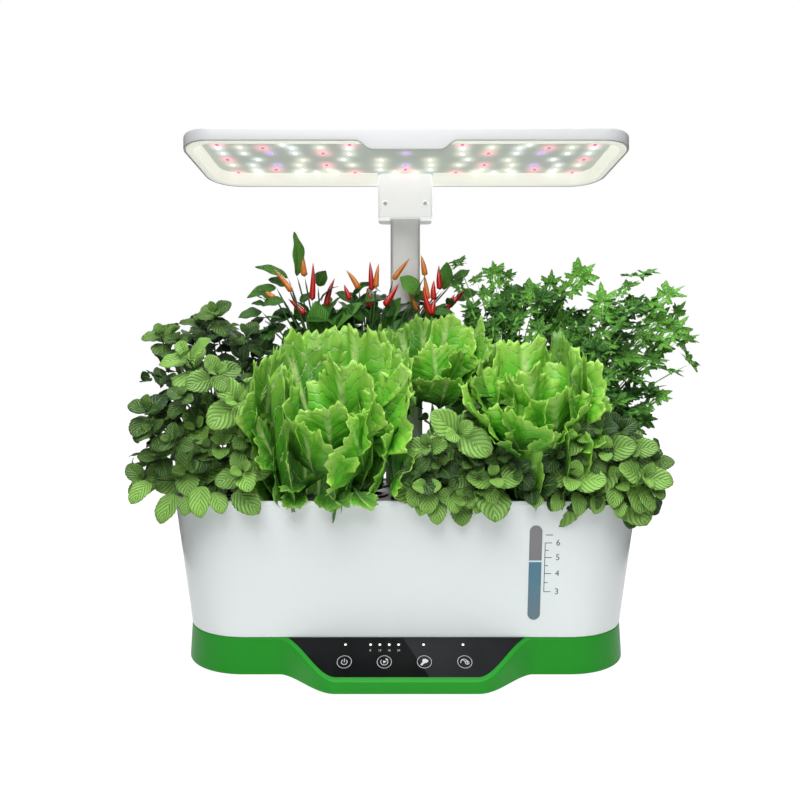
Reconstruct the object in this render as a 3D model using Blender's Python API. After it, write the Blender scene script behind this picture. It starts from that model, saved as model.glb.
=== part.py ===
"""Tabletop hydroponic grow system: water tank on a touch-panel base, planted deck, lamp on a sliding mast.

Metres, +Z up. The front faces -Y. The origin is the centre of the base floor's underside.
"""

import math

import bmesh
import bpy
import numpy as np
from mathutils import Matrix, Vector

# Clearances and counts
GAP = 0.0003
SLIDE_GAP = 0.0004
OVERRUN = 0.002
ARC_STEPS = 10
ROUND_STEPS = 16
SMALL_STEPS = 12
TINY_STEPS = 8

# Tank and base, a stadium in plan
STRAIGHT_HALF = 0.15275
SEAM_RADIUS = 0.0667
RIM_RADIUS = 0.0841
SEAM_HEIGHT = 0.034
RIM_HEIGHT = 0.1652
TANK_WALL = 0.0026
TANK_FLOOR = 0.003
TANK_FILLET = 0.008
LIP_HEIGHT = 0.0046
LIP_PROUD = 0.0007
EDGE_SOFT = 0.0008
LEDGE_WIDTH = 0.0028

# Lower housing and its protruding front
HOUSING_WALL = 0.0024
HOUSING_FLARE = 0.0019
FRONT_REACH = 0.1075
FRONT_HALF = 0.0628
SHOULDER_HALF = 0.124
SHOULDER_REACH = 0.0670
LIP_FRONT_HEIGHT = 0.0109
BEVEL_WIDTH = 0.0036
PANEL_THICKNESS = 0.0018
S_STEPS = 6
FLOOR_THICKNESS = 0.0024
FLOOR_INSET = 0.0005
FLOOR_STEP = 0.0006

# Feet
FOOT_RADIUS = 0.009
FOOT_DROP = 0.0016
FOOT_SPIGOT_RADIUS = 0.004
FOOT_INSET = 0.01075
FOOT_DEPTH_SHARE = 0.63

# Light guide, boards and power inlet
PIP_RADIUS = 0.0016
PIP_FIRST = -0.0566
PIP_PITCH = 0.0087
PIP_GROUP_PITCH = 0.0233
PIP_LAST_PITCH = 0.0366
PIP_CLUSTER_STEPS = 3
PIP_SLOPE_SHARE = 0.185
GUIDE_DEPTH = 0.005
GUIDE_THICKNESS = 0.0016
TOUCH_BOARD_THICKNESS = 0.0016
TOUCH_BOARD_HALF = 0.052
TOUCH_BOARD_SHARES = (0.16, 0.86)
BOARD_THICKNESS = 0.0016
BOARD_HALF_X = 0.036
BOARD_HALF_Y_SHARE = 0.36
BOARD_Y_SHARE = 0.27
BOARD_POST_HEIGHT = 0.006
BOARD_POST_RADIUS = 0.0032
CHIP_HEIGHT = 0.0018
CHIP_HALF = 0.005
CHIP_SHARES = ((-0.5, 0.2, 1.4), (0.1, -0.3, 1.0), (0.55, 0.35, 0.8))
JACK_RADIUS = 0.0055
JACK_FLANGE_RADIUS = 0.0075
JACK_FLANGE = 0.0015
JACK_BORE = 0.0029
JACK_PIN = 0.001
JACK_LENGTH = 0.014
JACK_X = 0.060
JACK_Z = 0.017

# Gauge strip in the tank's front
GAUGE_INSET = 0.03385
GAUGE_WIDTH = 0.0116
GAUGE_ABOVE_SEAM = 0.0179
GAUGE_BELOW_RIM = 0.0227
GAUGE_PROUD = 0.0005
GAUGE_FLANGE = 0.0022
GAUGE_FLANGE_THICKNESS = 0.0012
SEAL_THICKNESS = 0.0009

# Deck
DECK_RECESS = 0.0024
DECK_FLANGE = 0.0030
DECK_PLATE = 0.0026
DECK_SKIRT = 0.008
DECK_SKIRT_WALL = 0.002
POD_PITCH = 0.074
POD_ROW = 0.034
POD_COLUMNS = 6
POD_ROWS = 2

# Net pots and sponges
POT_RIM_RADIUS = 0.0200
POT_RIM_THICKNESS = 0.0016
POT_TOP_RADIUS = 0.0165
POT_FOOT_RADIUS = 0.0125
POT_DEPTH = 0.050
POT_WALL = 0.0014
POT_STEPS = 10
SLOT_WIDTH = 0.0052
SLOT_SHARES = (0.16, 0.74)
SPONGE_HEIGHT_SHARE = 0.80

# Fill port, lid and its pin
PORT_Y = -0.040
PORT_HALF_X = 0.0115
PORT_HALF_Y = 0.0155
PORT_CORNER = 0.004
PORT_COLLAR = 0.012
PORT_COLLAR_WALL = 0.0018
LID_LAP = 0.0035
LID_THICKNESS = 0.0020
LID_TAB = 0.004
LID_PIN_RADIUS = 0.0011
LID_BORE_RADIUS = 0.0014
LID_KNUCKLE_RADIUS = 0.0030
LID_KNUCKLE_HALF = 0.006
LID_EAR_WIDTH = 0.003
LID_EAR_RADIUS = 0.0024

# Mast
MAST_Y = 0.0633
INNER_WIDTH = 0.0336
INNER_DEPTH = 0.0170
INNER_WALL = 0.0016
INNER_CORNER = 0.0038
OUTER_WALL = 0.0024
OUTER_LENGTH = 0.1769
INNER_OVERLAP = 0.125
SOCKET_HEIGHT = 0.022
SOCKET_WALL = 0.0022
COLLAR_HEIGHT = 0.018
COLLAR_WALL = 0.0026
COLLAR_CAP = 0.0025

# Lamp
LAMP_HALF_X = 0.2187
LAMP_FRONT = -0.0677
LAMP_REAR = 0.0607
LAMP_CORNER = 0.032
LAMP_SOFT_SHARE = 0.40
LAMP_CORNER_STEPS = 5
LAMP_RIM_HEIGHT = 0.5014
BOARD_RISE = 0.0112
WALL_RISE = 0.0126
DOME_RISE = 0.0090
SHELL_WALL = 0.0022
FRAME_FACE = 0.0092
FRAME_SLOPE = 0.0050
FRAME_WALL = 0.0016
LED_BOARD_THICKNESS = 0.0016
LED_BOARD_LAP = 0.0035
GRIP_TOP_HALF = 0.0465
GRIP_LOW_HALF = 0.0335
GRIP_DROP = 0.0090
GRIP_STEPS = 4
DOME_INSETS = (0.0015, 0.010, 0.030, 0.048)
DOME_RISE_SHARES = (0.0, 0.50, 0.86, 1.0)
CEILING_DROP = 0.0024
LED_HALF = 0.0018
LED_HEIGHT = 0.0007
LED_ROW_SHARES = (-0.52, -0.07, 0.42)
LED_COLUMN_SHARES = (-0.90, -0.69, -0.42, 0.42, 0.69, 0.90)

# Bracket under the lamp
BRACKET_WIDTH = 0.0618
BRACKET_BEFORE_MAST = 0.0146
BRACKET_BEHIND_MAST = 0.0167
BRACKET_DROP = 0.0379
BRACKET_CORNER = 0.006
BRACKET_TUBE_DEPTH = 0.034
SCREW_X = 0.0226
SCREW_RISE = 0.0160
SCREW_RECESS_RADIUS = 0.00325
SCREW_RECESS_DEPTH = 0.0035
SCREW_SHANK_RADIUS = 0.0014
SCREW_HEAD_HEIGHT = 0.0016
SCREW_CROWN_SHARE = 0.7

# Pump
PUMP_Y = 0.006
PUMP_HALF_X = 0.021
PUMP_HALF_Y = 0.016
PUMP_HEIGHT = 0.034
PUMP_CORNER = 0.005
PUMP_FOOT = 0.002
CHAMBER_RADIUS = 0.0105
CHAMBER_DEPTH = 0.010
ROTOR_RADIUS = 0.0050
ROTOR_WELL = 0.018
ROTOR_CLEARANCE = 0.0006
BLADE_RADIUS = 0.0088
BLADE_THICKNESS = 0.0012
BLADE_WIDTH = 0.0065
COVER_THICKNESS = 0.0024
INTAKE_RADIUS = 0.0045
RISER_RADIUS = 0.0045
RISER_BORE = 0.0028
RISER_BELOW_DECK = 0.0168
RISER_SEAT = 0.004
GROMMET_RADIUS = 0.0060
GROMMET_GROOVE_RADIUS = 0.0042
GROMMET_LIP = 0.0014
LEAD_RADIUS = 0.0018
LEAD_X_SHARE = -0.55

# Plants: which pod holds which, by columns from the left and front to rear, then sizes above the rim:
# height, reach and lean in x and y
STALK_RADIUS = 0.0045
CROWN_GAP = 0.0036
CROWN_CLEAR = 0.004
CROWN_STEPS = 12
CROWN_LOBE_STEPS = 6
MAST_KEEP_OUT = 0.0275
BRACKET_KEEP_OUT = 0.0370
BRACKET_KEEP_OUT_DROP = 0.0585
PORT_KEEP_OUT = 0.030
PORT_KEEP_OUT_SETBACK = 0.006
PORT_KEEP_OUT_RISE = 0.0468
POD_ORDER = (
    "mint_front_left", "mint_rear_left",
    "lettuce_left", "pepper_left",
    "bare", "pepper_right",
    "mint_front_centre", "lettuce_middle",
    "lettuce_right", "parsley_rear",
    "mint_front_right", "parsley_right",
)
PLANTS = {
    "mint_rear_left": (0.180, 0.088, -0.030, 0.030),
    "mint_front_left": (0.135, 0.086, -0.036, -0.026),
    "pepper_left": (0.230, 0.080, 0.004, 0.034),
    "lettuce_left": (0.153, 0.086, 0.026, -0.030),
    "pepper_right": (0.265, 0.070, -0.012, 0.030),
    "mint_front_centre": (0.097, 0.060, 0.014, -0.046),
    "lettuce_middle": (0.185, 0.070, -0.002, -0.004),
    "lettuce_right": (0.157, 0.080, 0.020, -0.018),
    "parsley_rear": (0.253, 0.084, 0.006, 0.024),
    "parsley_right": (0.233, 0.104, 0.040, 0.020),
    "mint_front_right": (0.075, 0.080, 0.012, -0.044),
}
VIGOUR_SHARES = {
    "pepper_left": 0.9,
    "lettuce_left": 1.5,
    "pepper_right": 0.8,
    "lettuce_right": 1.4,
    "parsley_rear": 0.9,
    "parsley_right": 1.1,
    "mint_front_right": 1.1,
}
HERB_TIER_PITCH = 0.033
HERB_FEWEST_STEPS = 3
HERB_MOST_STEPS = 4
HERB_LOBE_SHARE = 0.24
STEM_RADIUS = 0.0040
HERB_TIER_SHARES = (0.40, 0.22)
HERB_NARROWING_SHARE = 0.55
HERB_LIFT_SHARE = 0.22
LETTUCE_LOBE_SHARE = 0.12
LETTUCE_WALL_SHARE = 0.93
LETTUCE_FOOT_SHARE = 0.20
LETTUCE_REACH_SHARES = (1.0, 0.80, 0.52)
LETTUCE_RISE_SHARES = (0.40, 0.80, 1.0)
LETTUCE_HEART_SHARE = 0.62

# Heights and radii that follow from the sizes above
TAPER = (RIM_RADIUS - SEAM_RADIUS) / (RIM_HEIGHT - SEAM_HEIGHT)
TAPER_ANGLE = math.atan(TAPER)
DECK_TOP = RIM_HEIGHT - DECK_RECESS
LEDGE_HEIGHT = DECK_TOP - DECK_FLANGE - GAP
FLANGE_RADIUS = RIM_RADIUS - TANK_WALL - SLIDE_GAP
TANK_FLOOR_TOP = SEAM_HEIGHT + GAP + TANK_FLOOR
OUTER_WIDTH = INNER_WIDTH + 2 * (SLIDE_GAP + OUTER_WALL)
OUTER_DEPTH = INNER_DEPTH + 2 * (SLIDE_GAP + OUTER_WALL)
OUTER_CORNER = INNER_CORNER + OUTER_WALL
OUTER_TOP = DECK_TOP + GAP + OUTER_LENGTH
INNER_BOTTOM = OUTER_TOP - INNER_OVERLAP
GAUGE_X = STRAIGHT_HALF - GAUGE_INSET
GAUGE_LOW = SEAM_HEIGHT + GAUGE_ABOVE_SEAM
GAUGE_HIGH = RIM_HEIGHT - GAUGE_BELOW_RIM
RISER_TOP = DECK_TOP - RISER_BELOW_DECK
FOOT_X = STRAIGHT_HALF - FOOT_INSET
FOOT_Y = SEAM_RADIUS * FOOT_DEPTH_SHARE
BOARD_HALF_Y = SEAM_RADIUS * BOARD_HALF_Y_SHARE
BOARD_Y = SEAM_RADIUS * BOARD_Y_SHARE
BOARD_PLANE = LAMP_RIM_HEIGHT + BOARD_RISE
WALL_TOP = LAMP_RIM_HEIGHT + WALL_RISE
BRACKET_LOW = LAMP_RIM_HEIGHT - BRACKET_DROP
BRACKET_FRONT = MAST_Y - BRACKET_BEFORE_MAST
BRACKET_REAR = MAST_Y + BRACKET_BEHIND_MAST
LAMP_MID_Y = (LAMP_FRONT + LAMP_REAR) / 2
LAMP_HALF_Y = (LAMP_REAR - LAMP_FRONT) / 2
BRACKET_TOP = BOARD_PLANE - GAP
BRACKET_SPLIT_Y = (BRACKET_FRONT + BRACKET_REAR) / 2
INNER_TOP = BRACKET_LOW + BRACKET_TUBE_DEPTH
SLOPE_TOP_Y = -SEAM_RADIUS
SLOPE_LOW_Y = -FRONT_REACH + BEVEL_WIDTH
PANEL_SLOPE = (SEAM_HEIGHT - LIP_FRONT_HEIGHT) / (FRONT_REACH - SEAM_RADIUS)
PANEL_ANGLE = math.atan(PANEL_SLOPE)
LID_HINGE_Y = PORT_Y + PORT_HALF_Y + LID_LAP + LID_KNUCKLE_RADIUS
LID_HINGE_Z = DECK_TOP + GAP + LID_KNUCKLE_RADIUS
PUMP_FLOOR = TANK_FLOOR_TOP + GAP
SHAFT_Z = PUMP_FLOOR + PUMP_HEIGHT / 2


def material(name, colour, roughness, metallic=0.0, alpha=1.0):
    """A Principled material of one plain colour."""
    made = bpy.data.materials.new(name)
    made.use_nodes = True
    shader = made.node_tree.nodes["Principled BSDF"]
    shader.inputs["Base Color"].default_value = (*colour, 1.0)
    shader.inputs["Roughness"].default_value = roughness
    shader.inputs["Metallic"].default_value = metallic
    shader.inputs["Alpha"].default_value = alpha
    return made


def add_object(name, mesh, finish):
    """Puts a mesh in the scene under the node's name, shaded smooth up to a sharp angle."""
    piece = bpy.data.objects.new(name, mesh)
    bpy.context.collection.objects.link(piece)
    mesh.materials.append(material(name, *finish))
    mesh.shade_smooth()
    mesh.set_sharp_from_angle(angle=math.radians(35))
    return piece


def closed_mesh(name, points, faces):
    """A mesh whose faces point out: they are turned round if the volume comes out negative."""
    mesh = bpy.data.meshes.new(name)
    mesh.from_pydata([tuple(p) for p in points], [], faces)
    body = bmesh.new()
    body.from_mesh(mesh)
    if body.calc_volume(signed=True) < 0:
        bmesh.ops.reverse_faces(body, faces=body.faces[:])
    body.to_mesh(mesh)
    body.free()
    return mesh


def loft_mesh(name, rings, closed_loop=False):
    """Skins rings of equal point count. The first and last get caps, or meet in a closed loop."""
    count = len(rings[0])
    points = np.concatenate(rings)
    faces = []
    strips = len(rings) if closed_loop else len(rings) - 1
    for row in range(strips):
        here = row * count
        there = ((row + 1) % len(rings)) * count
        for i in range(count):
            j = (i + 1) % count
            faces.append((here + i, here + j, there + j, there + i))
    if not closed_loop:
        faces.append(tuple(reversed(range(count))))
        last = (len(rings) - 1) * count
        faces.append(tuple(range(last, last + count)))
    return closed_mesh(name, points, faces)


def loft(name, rings, finish, closed_loop=False):
    """A lofted piece as an object of its own."""
    return add_object(name, loft_mesh(name, rings, closed_loop), finish)


def at_height(outline, height):
    """Lifts a flat outline to a height, which may differ from point to point."""
    outline = np.asarray(outline)
    heights = np.broadcast_to(height, len(outline))
    return np.column_stack([outline, heights])


def circle(radius, steps=ROUND_STEPS, x=0.0, y=0.0):
    """A round outline, counter-clockwise."""
    angles = np.arange(steps) * 2 * math.pi / steps
    return np.column_stack([x + radius * np.cos(angles), y + radius * np.sin(angles)])


def stadium(radius, straight_half=STRAIGHT_HALF, steps=ARC_STEPS):
    """Two half circles joined by straight sides, counter-clockwise from the right end's front."""
    angles = np.linspace(-math.pi / 2, math.pi / 2, steps + 1)
    arc = radius * np.column_stack([np.cos(angles), np.sin(angles)])
    shift = np.array([straight_half, 0])
    return np.concatenate([arc + shift, -arc - shift])


def rounded_rectangle(half_x, half_y, corner, steps=3, x=0.0, y=0.0):
    """A rectangle with round corners, counter-clockwise."""
    corner = min(corner, half_x, half_y)
    points = []
    for quarter, (sx, sy) in enumerate(((1, 1), (-1, 1), (-1, -1), (1, -1))):
        angles = np.linspace(0, math.pi / 2, steps + 1) + quarter * math.pi / 2
        centre = np.array([sx * (half_x - corner), sy * (half_y - corner)])
        points.append(centre + corner * np.column_stack([np.cos(angles), np.sin(angles)]))
    return np.concatenate(points) + np.array([x, y])


def rectangle(half_x, half_y, x=0.0, y=0.0):
    """A rectangle with sharp corners, counter-clockwise."""
    return np.array([[1, 1], [-1, 1], [-1, -1], [1, -1]]) * [half_x, half_y] + [x, y]


def prism_mesh(name, outline, low, high):
    """An upright prism between two heights, each of which may slope."""
    return loft_mesh(name, [at_height(outline, low), at_height(outline, high)])


def turned(mesh, matrix):
    """Turns and moves a mesh."""
    mesh.transform(matrix)
    return mesh


def along_x(mesh, x, y, z):
    """Lays an upright mesh along +X, with its foot at a point."""
    return turned(mesh, Matrix.Translation(Vector((x, y, z))) @ Matrix.Rotation(math.pi / 2, 4, "Y"))


def along_y(mesh, x, y, z):
    """Lays an upright mesh along -Y, with its foot at a point."""
    return turned(mesh, Matrix.Translation(Vector((x, y, z))) @ Matrix.Rotation(math.pi / 2, 4, "X"))


def combine(piece, mesh, operation):
    """Joins or cuts a piece with a hidden guide mesh."""
    guide = bpy.data.objects.new(piece.name + "_guide", mesh)
    bpy.context.collection.objects.link(guide)
    guide.hide_render = True
    guide.display_type = "WIRE"
    step = piece.modifiers.new(operation.lower(), "BOOLEAN")
    step.operation = operation
    step.solver = "EXACT"
    step.object = guide


def cut(piece, mesh):
    """Takes a guide mesh away from a piece."""
    combine(piece, mesh, "DIFFERENCE")


def join(piece, mesh):
    """Adds a guide mesh to a piece."""
    combine(piece, mesh, "UNION")


# Colour, roughness, then metallic and alpha where they differ from the usual
WHITE_SHARES = ((0.86, 0.88, 0.87), 0.3)
GREEN_SHARES = ((0.03, 0.32, 0.035), 0.38)
DARK_SHARES = ((0.03, 0.034, 0.034), 0.5)
BLACK_GLOSS_SHARES = ((0.005, 0.006, 0.006), 0.08)
RUBBER_SHARES = ((0.02, 0.02, 0.02), 0.85)
SATIN_METAL_SHARES = ((0.75, 0.76, 0.77), 0.3, 0.9)
STEEL_SHARES = ((0.6, 0.6, 0.62), 0.3, 1.0)
BOARD_GREEN_SHARES = ((0.03, 0.16, 0.07), 0.5)
CLEAR_SHARES = ((0.45, 0.6, 0.66), 0.12, 0.0, 0.7)
CREAM_SHARES = ((0.93, 0.93, 0.84), 0.4)
PALE_BOARD_SHARES = ((0.62, 0.68, 0.63), 0.45)
LEAF_SHARES = ((0.09, 0.27, 0.03), 0.5)
SPONGE_SHARES = ((0.10, 0.07, 0.04), 0.9)


def wall_radius(height):
    """The tank's outer radius at a height."""
    return SEAM_RADIUS + TAPER * (height - SEAM_HEIGHT)


def housing_radius(height):
    """The housing's outer radius at a height: it widens evenly towards the table."""
    return SEAM_RADIUS + HOUSING_FLARE * (1 - height / SEAM_HEIGHT)


def slope_height(y):
    """Height of the sloping panel face over a depth."""
    return LIP_FRONT_HEIGHT + PANEL_SLOPE * (y + FRONT_REACH)


def slope_reach(height):
    """How far forward the sloping face lies at a height."""
    return FRONT_REACH - (height - LIP_FRONT_HEIGHT) / PANEL_SLOPE


def nose_columns():
    """Half-widths and reaches of the nose in plan: an S-curve from its flat front back to the shoulder."""
    share = np.linspace(0, 1, S_STEPS + 1)
    ease = share * share * (3 - 2 * share)
    x = FRONT_HALF + (SHOULDER_HALF - FRONT_HALF) * share
    return x, FRONT_REACH - (FRONT_REACH - SHOULDER_REACH) * ease


def front_outline(inset=0.0):
    """The nose in plan from its left shoulder to its right one, moved inwards square to itself."""
    x, reach = nose_columns()
    run = np.gradient(reach, x)
    length = np.hypot(1, run)
    x = x + inset * run / length
    reach = reach - inset / length
    right = np.column_stack([x, -reach])
    left = right[::-1] * np.array([-1, 1])
    return np.concatenate([left, right])


def housing_ring(radius, height, wall=0.0, drop=0.0):
    """The housing's outline at a height: a stadium whose front is the nose, cut back by the slope."""
    x, reach = nose_columns()
    reach = np.minimum(reach - wall, slope_reach(height + drop))
    front = np.maximum(reach, radius)
    right = np.column_stack([x, -front])
    left = right[::-1] * np.array([-1, 1])
    return at_height(np.concatenate([left, right, stadium(radius)]), height)


def base_housing():
    """Green housing: a low stadium with a nose that the sloping face cuts, hollow from below."""
    heights = LIP_FRONT_HEIGHT + (FRONT_REACH - nose_columns()[1]) * PANEL_SLOPE
    heights = heights[heights < SEAM_HEIGHT - EDGE_SOFT * 2]
    drop = (PANEL_THICKNESS + HOUSING_WALL) / math.cos(PANEL_ANGLE)
    ceiling = SEAM_HEIGHT - HOUSING_WALL
    inner = SEAM_RADIUS - HOUSING_WALL
    levels = [ceiling] + [z for z in heights[::-1] - drop] + [0.0]
    rings = [housing_ring(inner, z, HOUSING_WALL, drop) for z in levels]
    rings.append(housing_ring(housing_radius(0.0) - EDGE_SOFT, 0.0, EDGE_SOFT))
    rings.append(housing_ring(housing_radius(EDGE_SOFT), EDGE_SOFT))
    rings += [housing_ring(housing_radius(z), z) for z in heights]
    rings.append(housing_ring(SEAM_RADIUS, SEAM_HEIGHT - EDGE_SOFT))
    rings.append(housing_ring(SEAM_RADIUS - EDGE_SOFT, SEAM_HEIGHT))
    piece = loft("base_housing", rings, GREEN_SHARES)
    recess = panel_outline(0)
    low = slope_height(recess[:, 1]) - PANEL_THICKNESS
    cut(piece, prism_mesh("panel_recess", recess, low, low + PANEL_THICKNESS + OVERRUN))
    cut(piece, guide_window())
    jack = prism_mesh("inlet", circle(JACK_RADIUS + GAP), -OVERRUN, HOUSING_FLARE + HOUSING_WALL + OVERRUN)
    cut(piece, along_y(jack, JACK_X, housing_radius(0.0), JACK_Z))
    lead = circle(GROMMET_GROOVE_RADIUS + GAP, SMALL_STEPS, lead_x(), PUMP_Y)
    cut(piece, prism_mesh("lead_hole", lead, SEAM_HEIGHT - HOUSING_WALL * 2, SEAM_HEIGHT + OVERRUN))
    return piece


def panel_outline(inset):
    """The panel in plan: the nose outline less its green border, cut straight just in front of the tank."""
    outline = front_outline(BEVEL_WIDTH + inset)
    back = -SEAM_RADIUS - EDGE_SOFT - inset
    right = outline[outline[:, 0] > 0]
    corner = np.interp(back, right[:, 1], right[:, 0])
    right = np.concatenate([right[right[:, 1] < back], [[corner, back]]])
    return np.concatenate([right[::-1] * np.array([-1, 1]), right])


def guide_window():
    """The slot in the recess's floor that the light guide looks up through."""
    half = (pip_places()[-1] - pip_places()[0]) / 2 + PIP_RADIUS * 2
    middle = (pip_places()[-1] + pip_places()[0]) / 2
    outline = rounded_rectangle(half, PIP_RADIUS * 2, PIP_RADIUS, 3)
    mesh = prism_mesh("window", outline, -PANEL_THICKNESS - HOUSING_WALL * 2, OVERRUN)
    place = Vector((middle, pip_y(), slope_height(pip_y())))
    return turned(mesh, Matrix.Translation(place) @ Matrix.Rotation(PANEL_ANGLE, 4, "X"))


def pip_places():
    """Where the seven indicator lights sit: one, then four close together, then two."""
    pitches = [PIP_GROUP_PITCH] + [PIP_PITCH] * PIP_CLUSTER_STEPS + [PIP_GROUP_PITCH, PIP_LAST_PITCH]
    return list(PIP_FIRST + np.append(0.0, np.cumsum(pitches)))


def pip_y():
    """Depth of the row of indicator lights on the slope."""
    return SLOPE_TOP_Y + (SLOPE_LOW_Y - SLOPE_TOP_Y) * PIP_SLOPE_SHARE


def pip_mesh(x, radius, below, above):
    """A round pip square to the slope, from a depth below the face to a height above it."""
    mesh = prism_mesh("pip", circle(radius, TINY_STEPS), below - PANEL_THICKNESS, above)
    place = Vector((x, pip_y(), slope_height(pip_y())))
    return turned(mesh, Matrix.Translation(place) @ Matrix.Rotation(PANEL_ANGLE, 4, "X"))


def slope_plate(name, half_x, shares, top, thickness, finish):
    """A flat plate parallel to the slope and below its face, between two shares of its length."""
    y = np.array(shares) * (SLOPE_LOW_Y - SLOPE_TOP_Y) + SLOPE_TOP_Y
    outline = np.array([[-half_x, y[1]], [half_x, y[1]], [half_x, y[0]], [-half_x, y[0]]])
    high = slope_height(outline[:, 1]) - top
    return add_object(name, prism_mesh(name, outline, high - thickness, high), finish)


def control_panel():
    """Black gloss touch panel, a thin plate in the slope's recess with holes for the seven pips."""
    outline = panel_outline(GAP)
    top = slope_height(outline[:, 1])
    piece = loft(
        "control_panel",
        [at_height(outline, top - PANEL_THICKNESS + GAP), at_height(outline, top)],
        BLACK_GLOSS_SHARES,
    )
    for x in pip_places():
        cut(piece, pip_mesh(x, PIP_RADIUS + GAP, -OVERRUN, OVERRUN))
    return piece


def guide_top():
    """Depth of the light guide's top below the slope, measured straight down."""
    return (PANEL_THICKNESS + HOUSING_WALL + GAP * 2) / math.cos(PANEL_ANGLE)


def light_guide():
    """Clear bar below the panel whose seven pips come up through it."""
    share = GUIDE_DEPTH / (SLOPE_TOP_Y - SLOPE_LOW_Y)
    half = (pip_places()[-1] - pip_places()[0]) / 2 + GUIDE_DEPTH
    middle = (pip_places()[-1] + pip_places()[0]) / 2
    shares = (PIP_SLOPE_SHARE - share, PIP_SLOPE_SHARE + share)
    piece = slope_plate("light_guide", half, shares, guide_top(), GUIDE_THICKNESS, CLEAR_SHARES)
    piece.data.transform(Matrix.Translation(Vector((middle, 0, 0))))
    for x in pip_places():
        join(piece, pip_mesh(x, PIP_RADIUS, -HOUSING_WALL - GUIDE_THICKNESS, 0))
    return piece


def touch_board():
    """Circuit board behind the panel, close under the light guide."""
    top = guide_top() + GUIDE_THICKNESS + GAP / math.cos(PANEL_ANGLE)
    half = TOUCH_BOARD_HALF + GUIDE_DEPTH
    shares = TOUCH_BOARD_SHARES
    return slope_plate("touch_board", half, shares, top, TOUCH_BOARD_THICKNESS, BOARD_GREEN_SHARES)


def base_floor():
    """Cover that closes the housing from below: a stiffening step between the feet, posts and foot holes."""
    radius = SEAM_RADIUS - HOUSING_WALL - FLOOR_INSET
    wall = HOUSING_WALL + FLOOR_INSET
    rings = [housing_ring(radius, FLOOR_STEP, wall), housing_ring(radius, FLOOR_THICKNESS, wall)]
    piece = loft("base_floor", rings, DARK_SHARES)
    step = rounded_rectangle(FOOT_X - FOOT_RADIUS * 2, FOOT_Y, FOOT_RADIUS)
    join(piece, prism_mesh("step", step, 0.0, FLOOR_THICKNESS - FLOOR_STEP))
    for x in (-1, 1):
        for y in (-1, 1):
            place = (x * (BOARD_HALF_X - CHIP_HALF), BOARD_Y + y * (BOARD_HALF_Y - CHIP_HALF))
            post = circle(BOARD_POST_RADIUS, TINY_STEPS, *place)
            join(piece, prism_mesh("post", post, FLOOR_THICKNESS / 2, FLOOR_THICKNESS + BOARD_POST_HEIGHT))
            hole = circle(FOOT_SPIGOT_RADIUS + GAP, SMALL_STEPS, x * FOOT_X, y * FOOT_Y)
            cut(piece, prism_mesh("foot_hole", hole, -OVERRUN, FLOOR_THICKNESS + OVERRUN))
    return piece


def foot(index, x, y):
    """Rubber foot: a flat disc under the floor with a spigot up through it."""
    seat = FLOOR_STEP - GAP
    profile = (
        (FOOT_RADIUS - EDGE_SOFT, -FOOT_DROP),
        (FOOT_RADIUS, -FOOT_DROP + EDGE_SOFT),
        (FOOT_RADIUS, seat),
        (FOOT_SPIGOT_RADIUS, seat),
        (FOOT_SPIGOT_RADIUS, FLOOR_THICKNESS),
    )
    rings = [at_height(circle(radius, SMALL_STEPS, x, y), z) for radius, z in profile]
    return loft(f"foot_{index}", rings, RUBBER_SHARES)


def control_board():
    """Board on the floor's posts, with its larger components."""
    low = FLOOR_THICKNESS + BOARD_POST_HEIGHT + GAP
    outline = rounded_rectangle(BOARD_HALF_X, BOARD_HALF_Y, CHIP_HEIGHT, 1, 0, BOARD_Y)
    high = low + BOARD_THICKNESS
    piece = add_object("control_board", prism_mesh("board", outline, low, high), BOARD_GREEN_SHARES)
    for share_x, share_y, size in CHIP_SHARES:
        place = (BOARD_HALF_X * share_x, BOARD_Y + BOARD_HALF_Y * share_y)
        chip = rounded_rectangle(CHIP_HALF * size, CHIP_HALF, EDGE_SOFT, 1, *place)
        join(piece, prism_mesh("chip", chip, high - BOARD_THICKNESS / 2, high + CHIP_HEIGHT * size))
    return piece


def power_jack():
    """Round inlet in the back wall: flange outside, barrel inside, centre pin in its bore."""
    profile = (
        (JACK_RADIUS, JACK_FLANGE + JACK_LENGTH),
        (JACK_RADIUS, JACK_FLANGE),
        (JACK_FLANGE_RADIUS, JACK_FLANGE),
        (JACK_FLANGE_RADIUS, 0),
        (JACK_BORE, 0),
        (JACK_BORE, JACK_LENGTH),
        (JACK_PIN, JACK_LENGTH),
        (JACK_PIN, JACK_FLANGE),
        (JACK_PIN / 2, JACK_FLANGE / 2),
    )
    mesh = loft_mesh("power_jack", [at_height(circle(radius, SMALL_STEPS), z) for radius, z in profile])
    outside = housing_radius(JACK_Z - JACK_FLANGE_RADIUS) + GAP + JACK_FLANGE
    return add_object("power_jack", along_y(mesh, JACK_X, outside, JACK_Z), DARK_SHARES)


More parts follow.
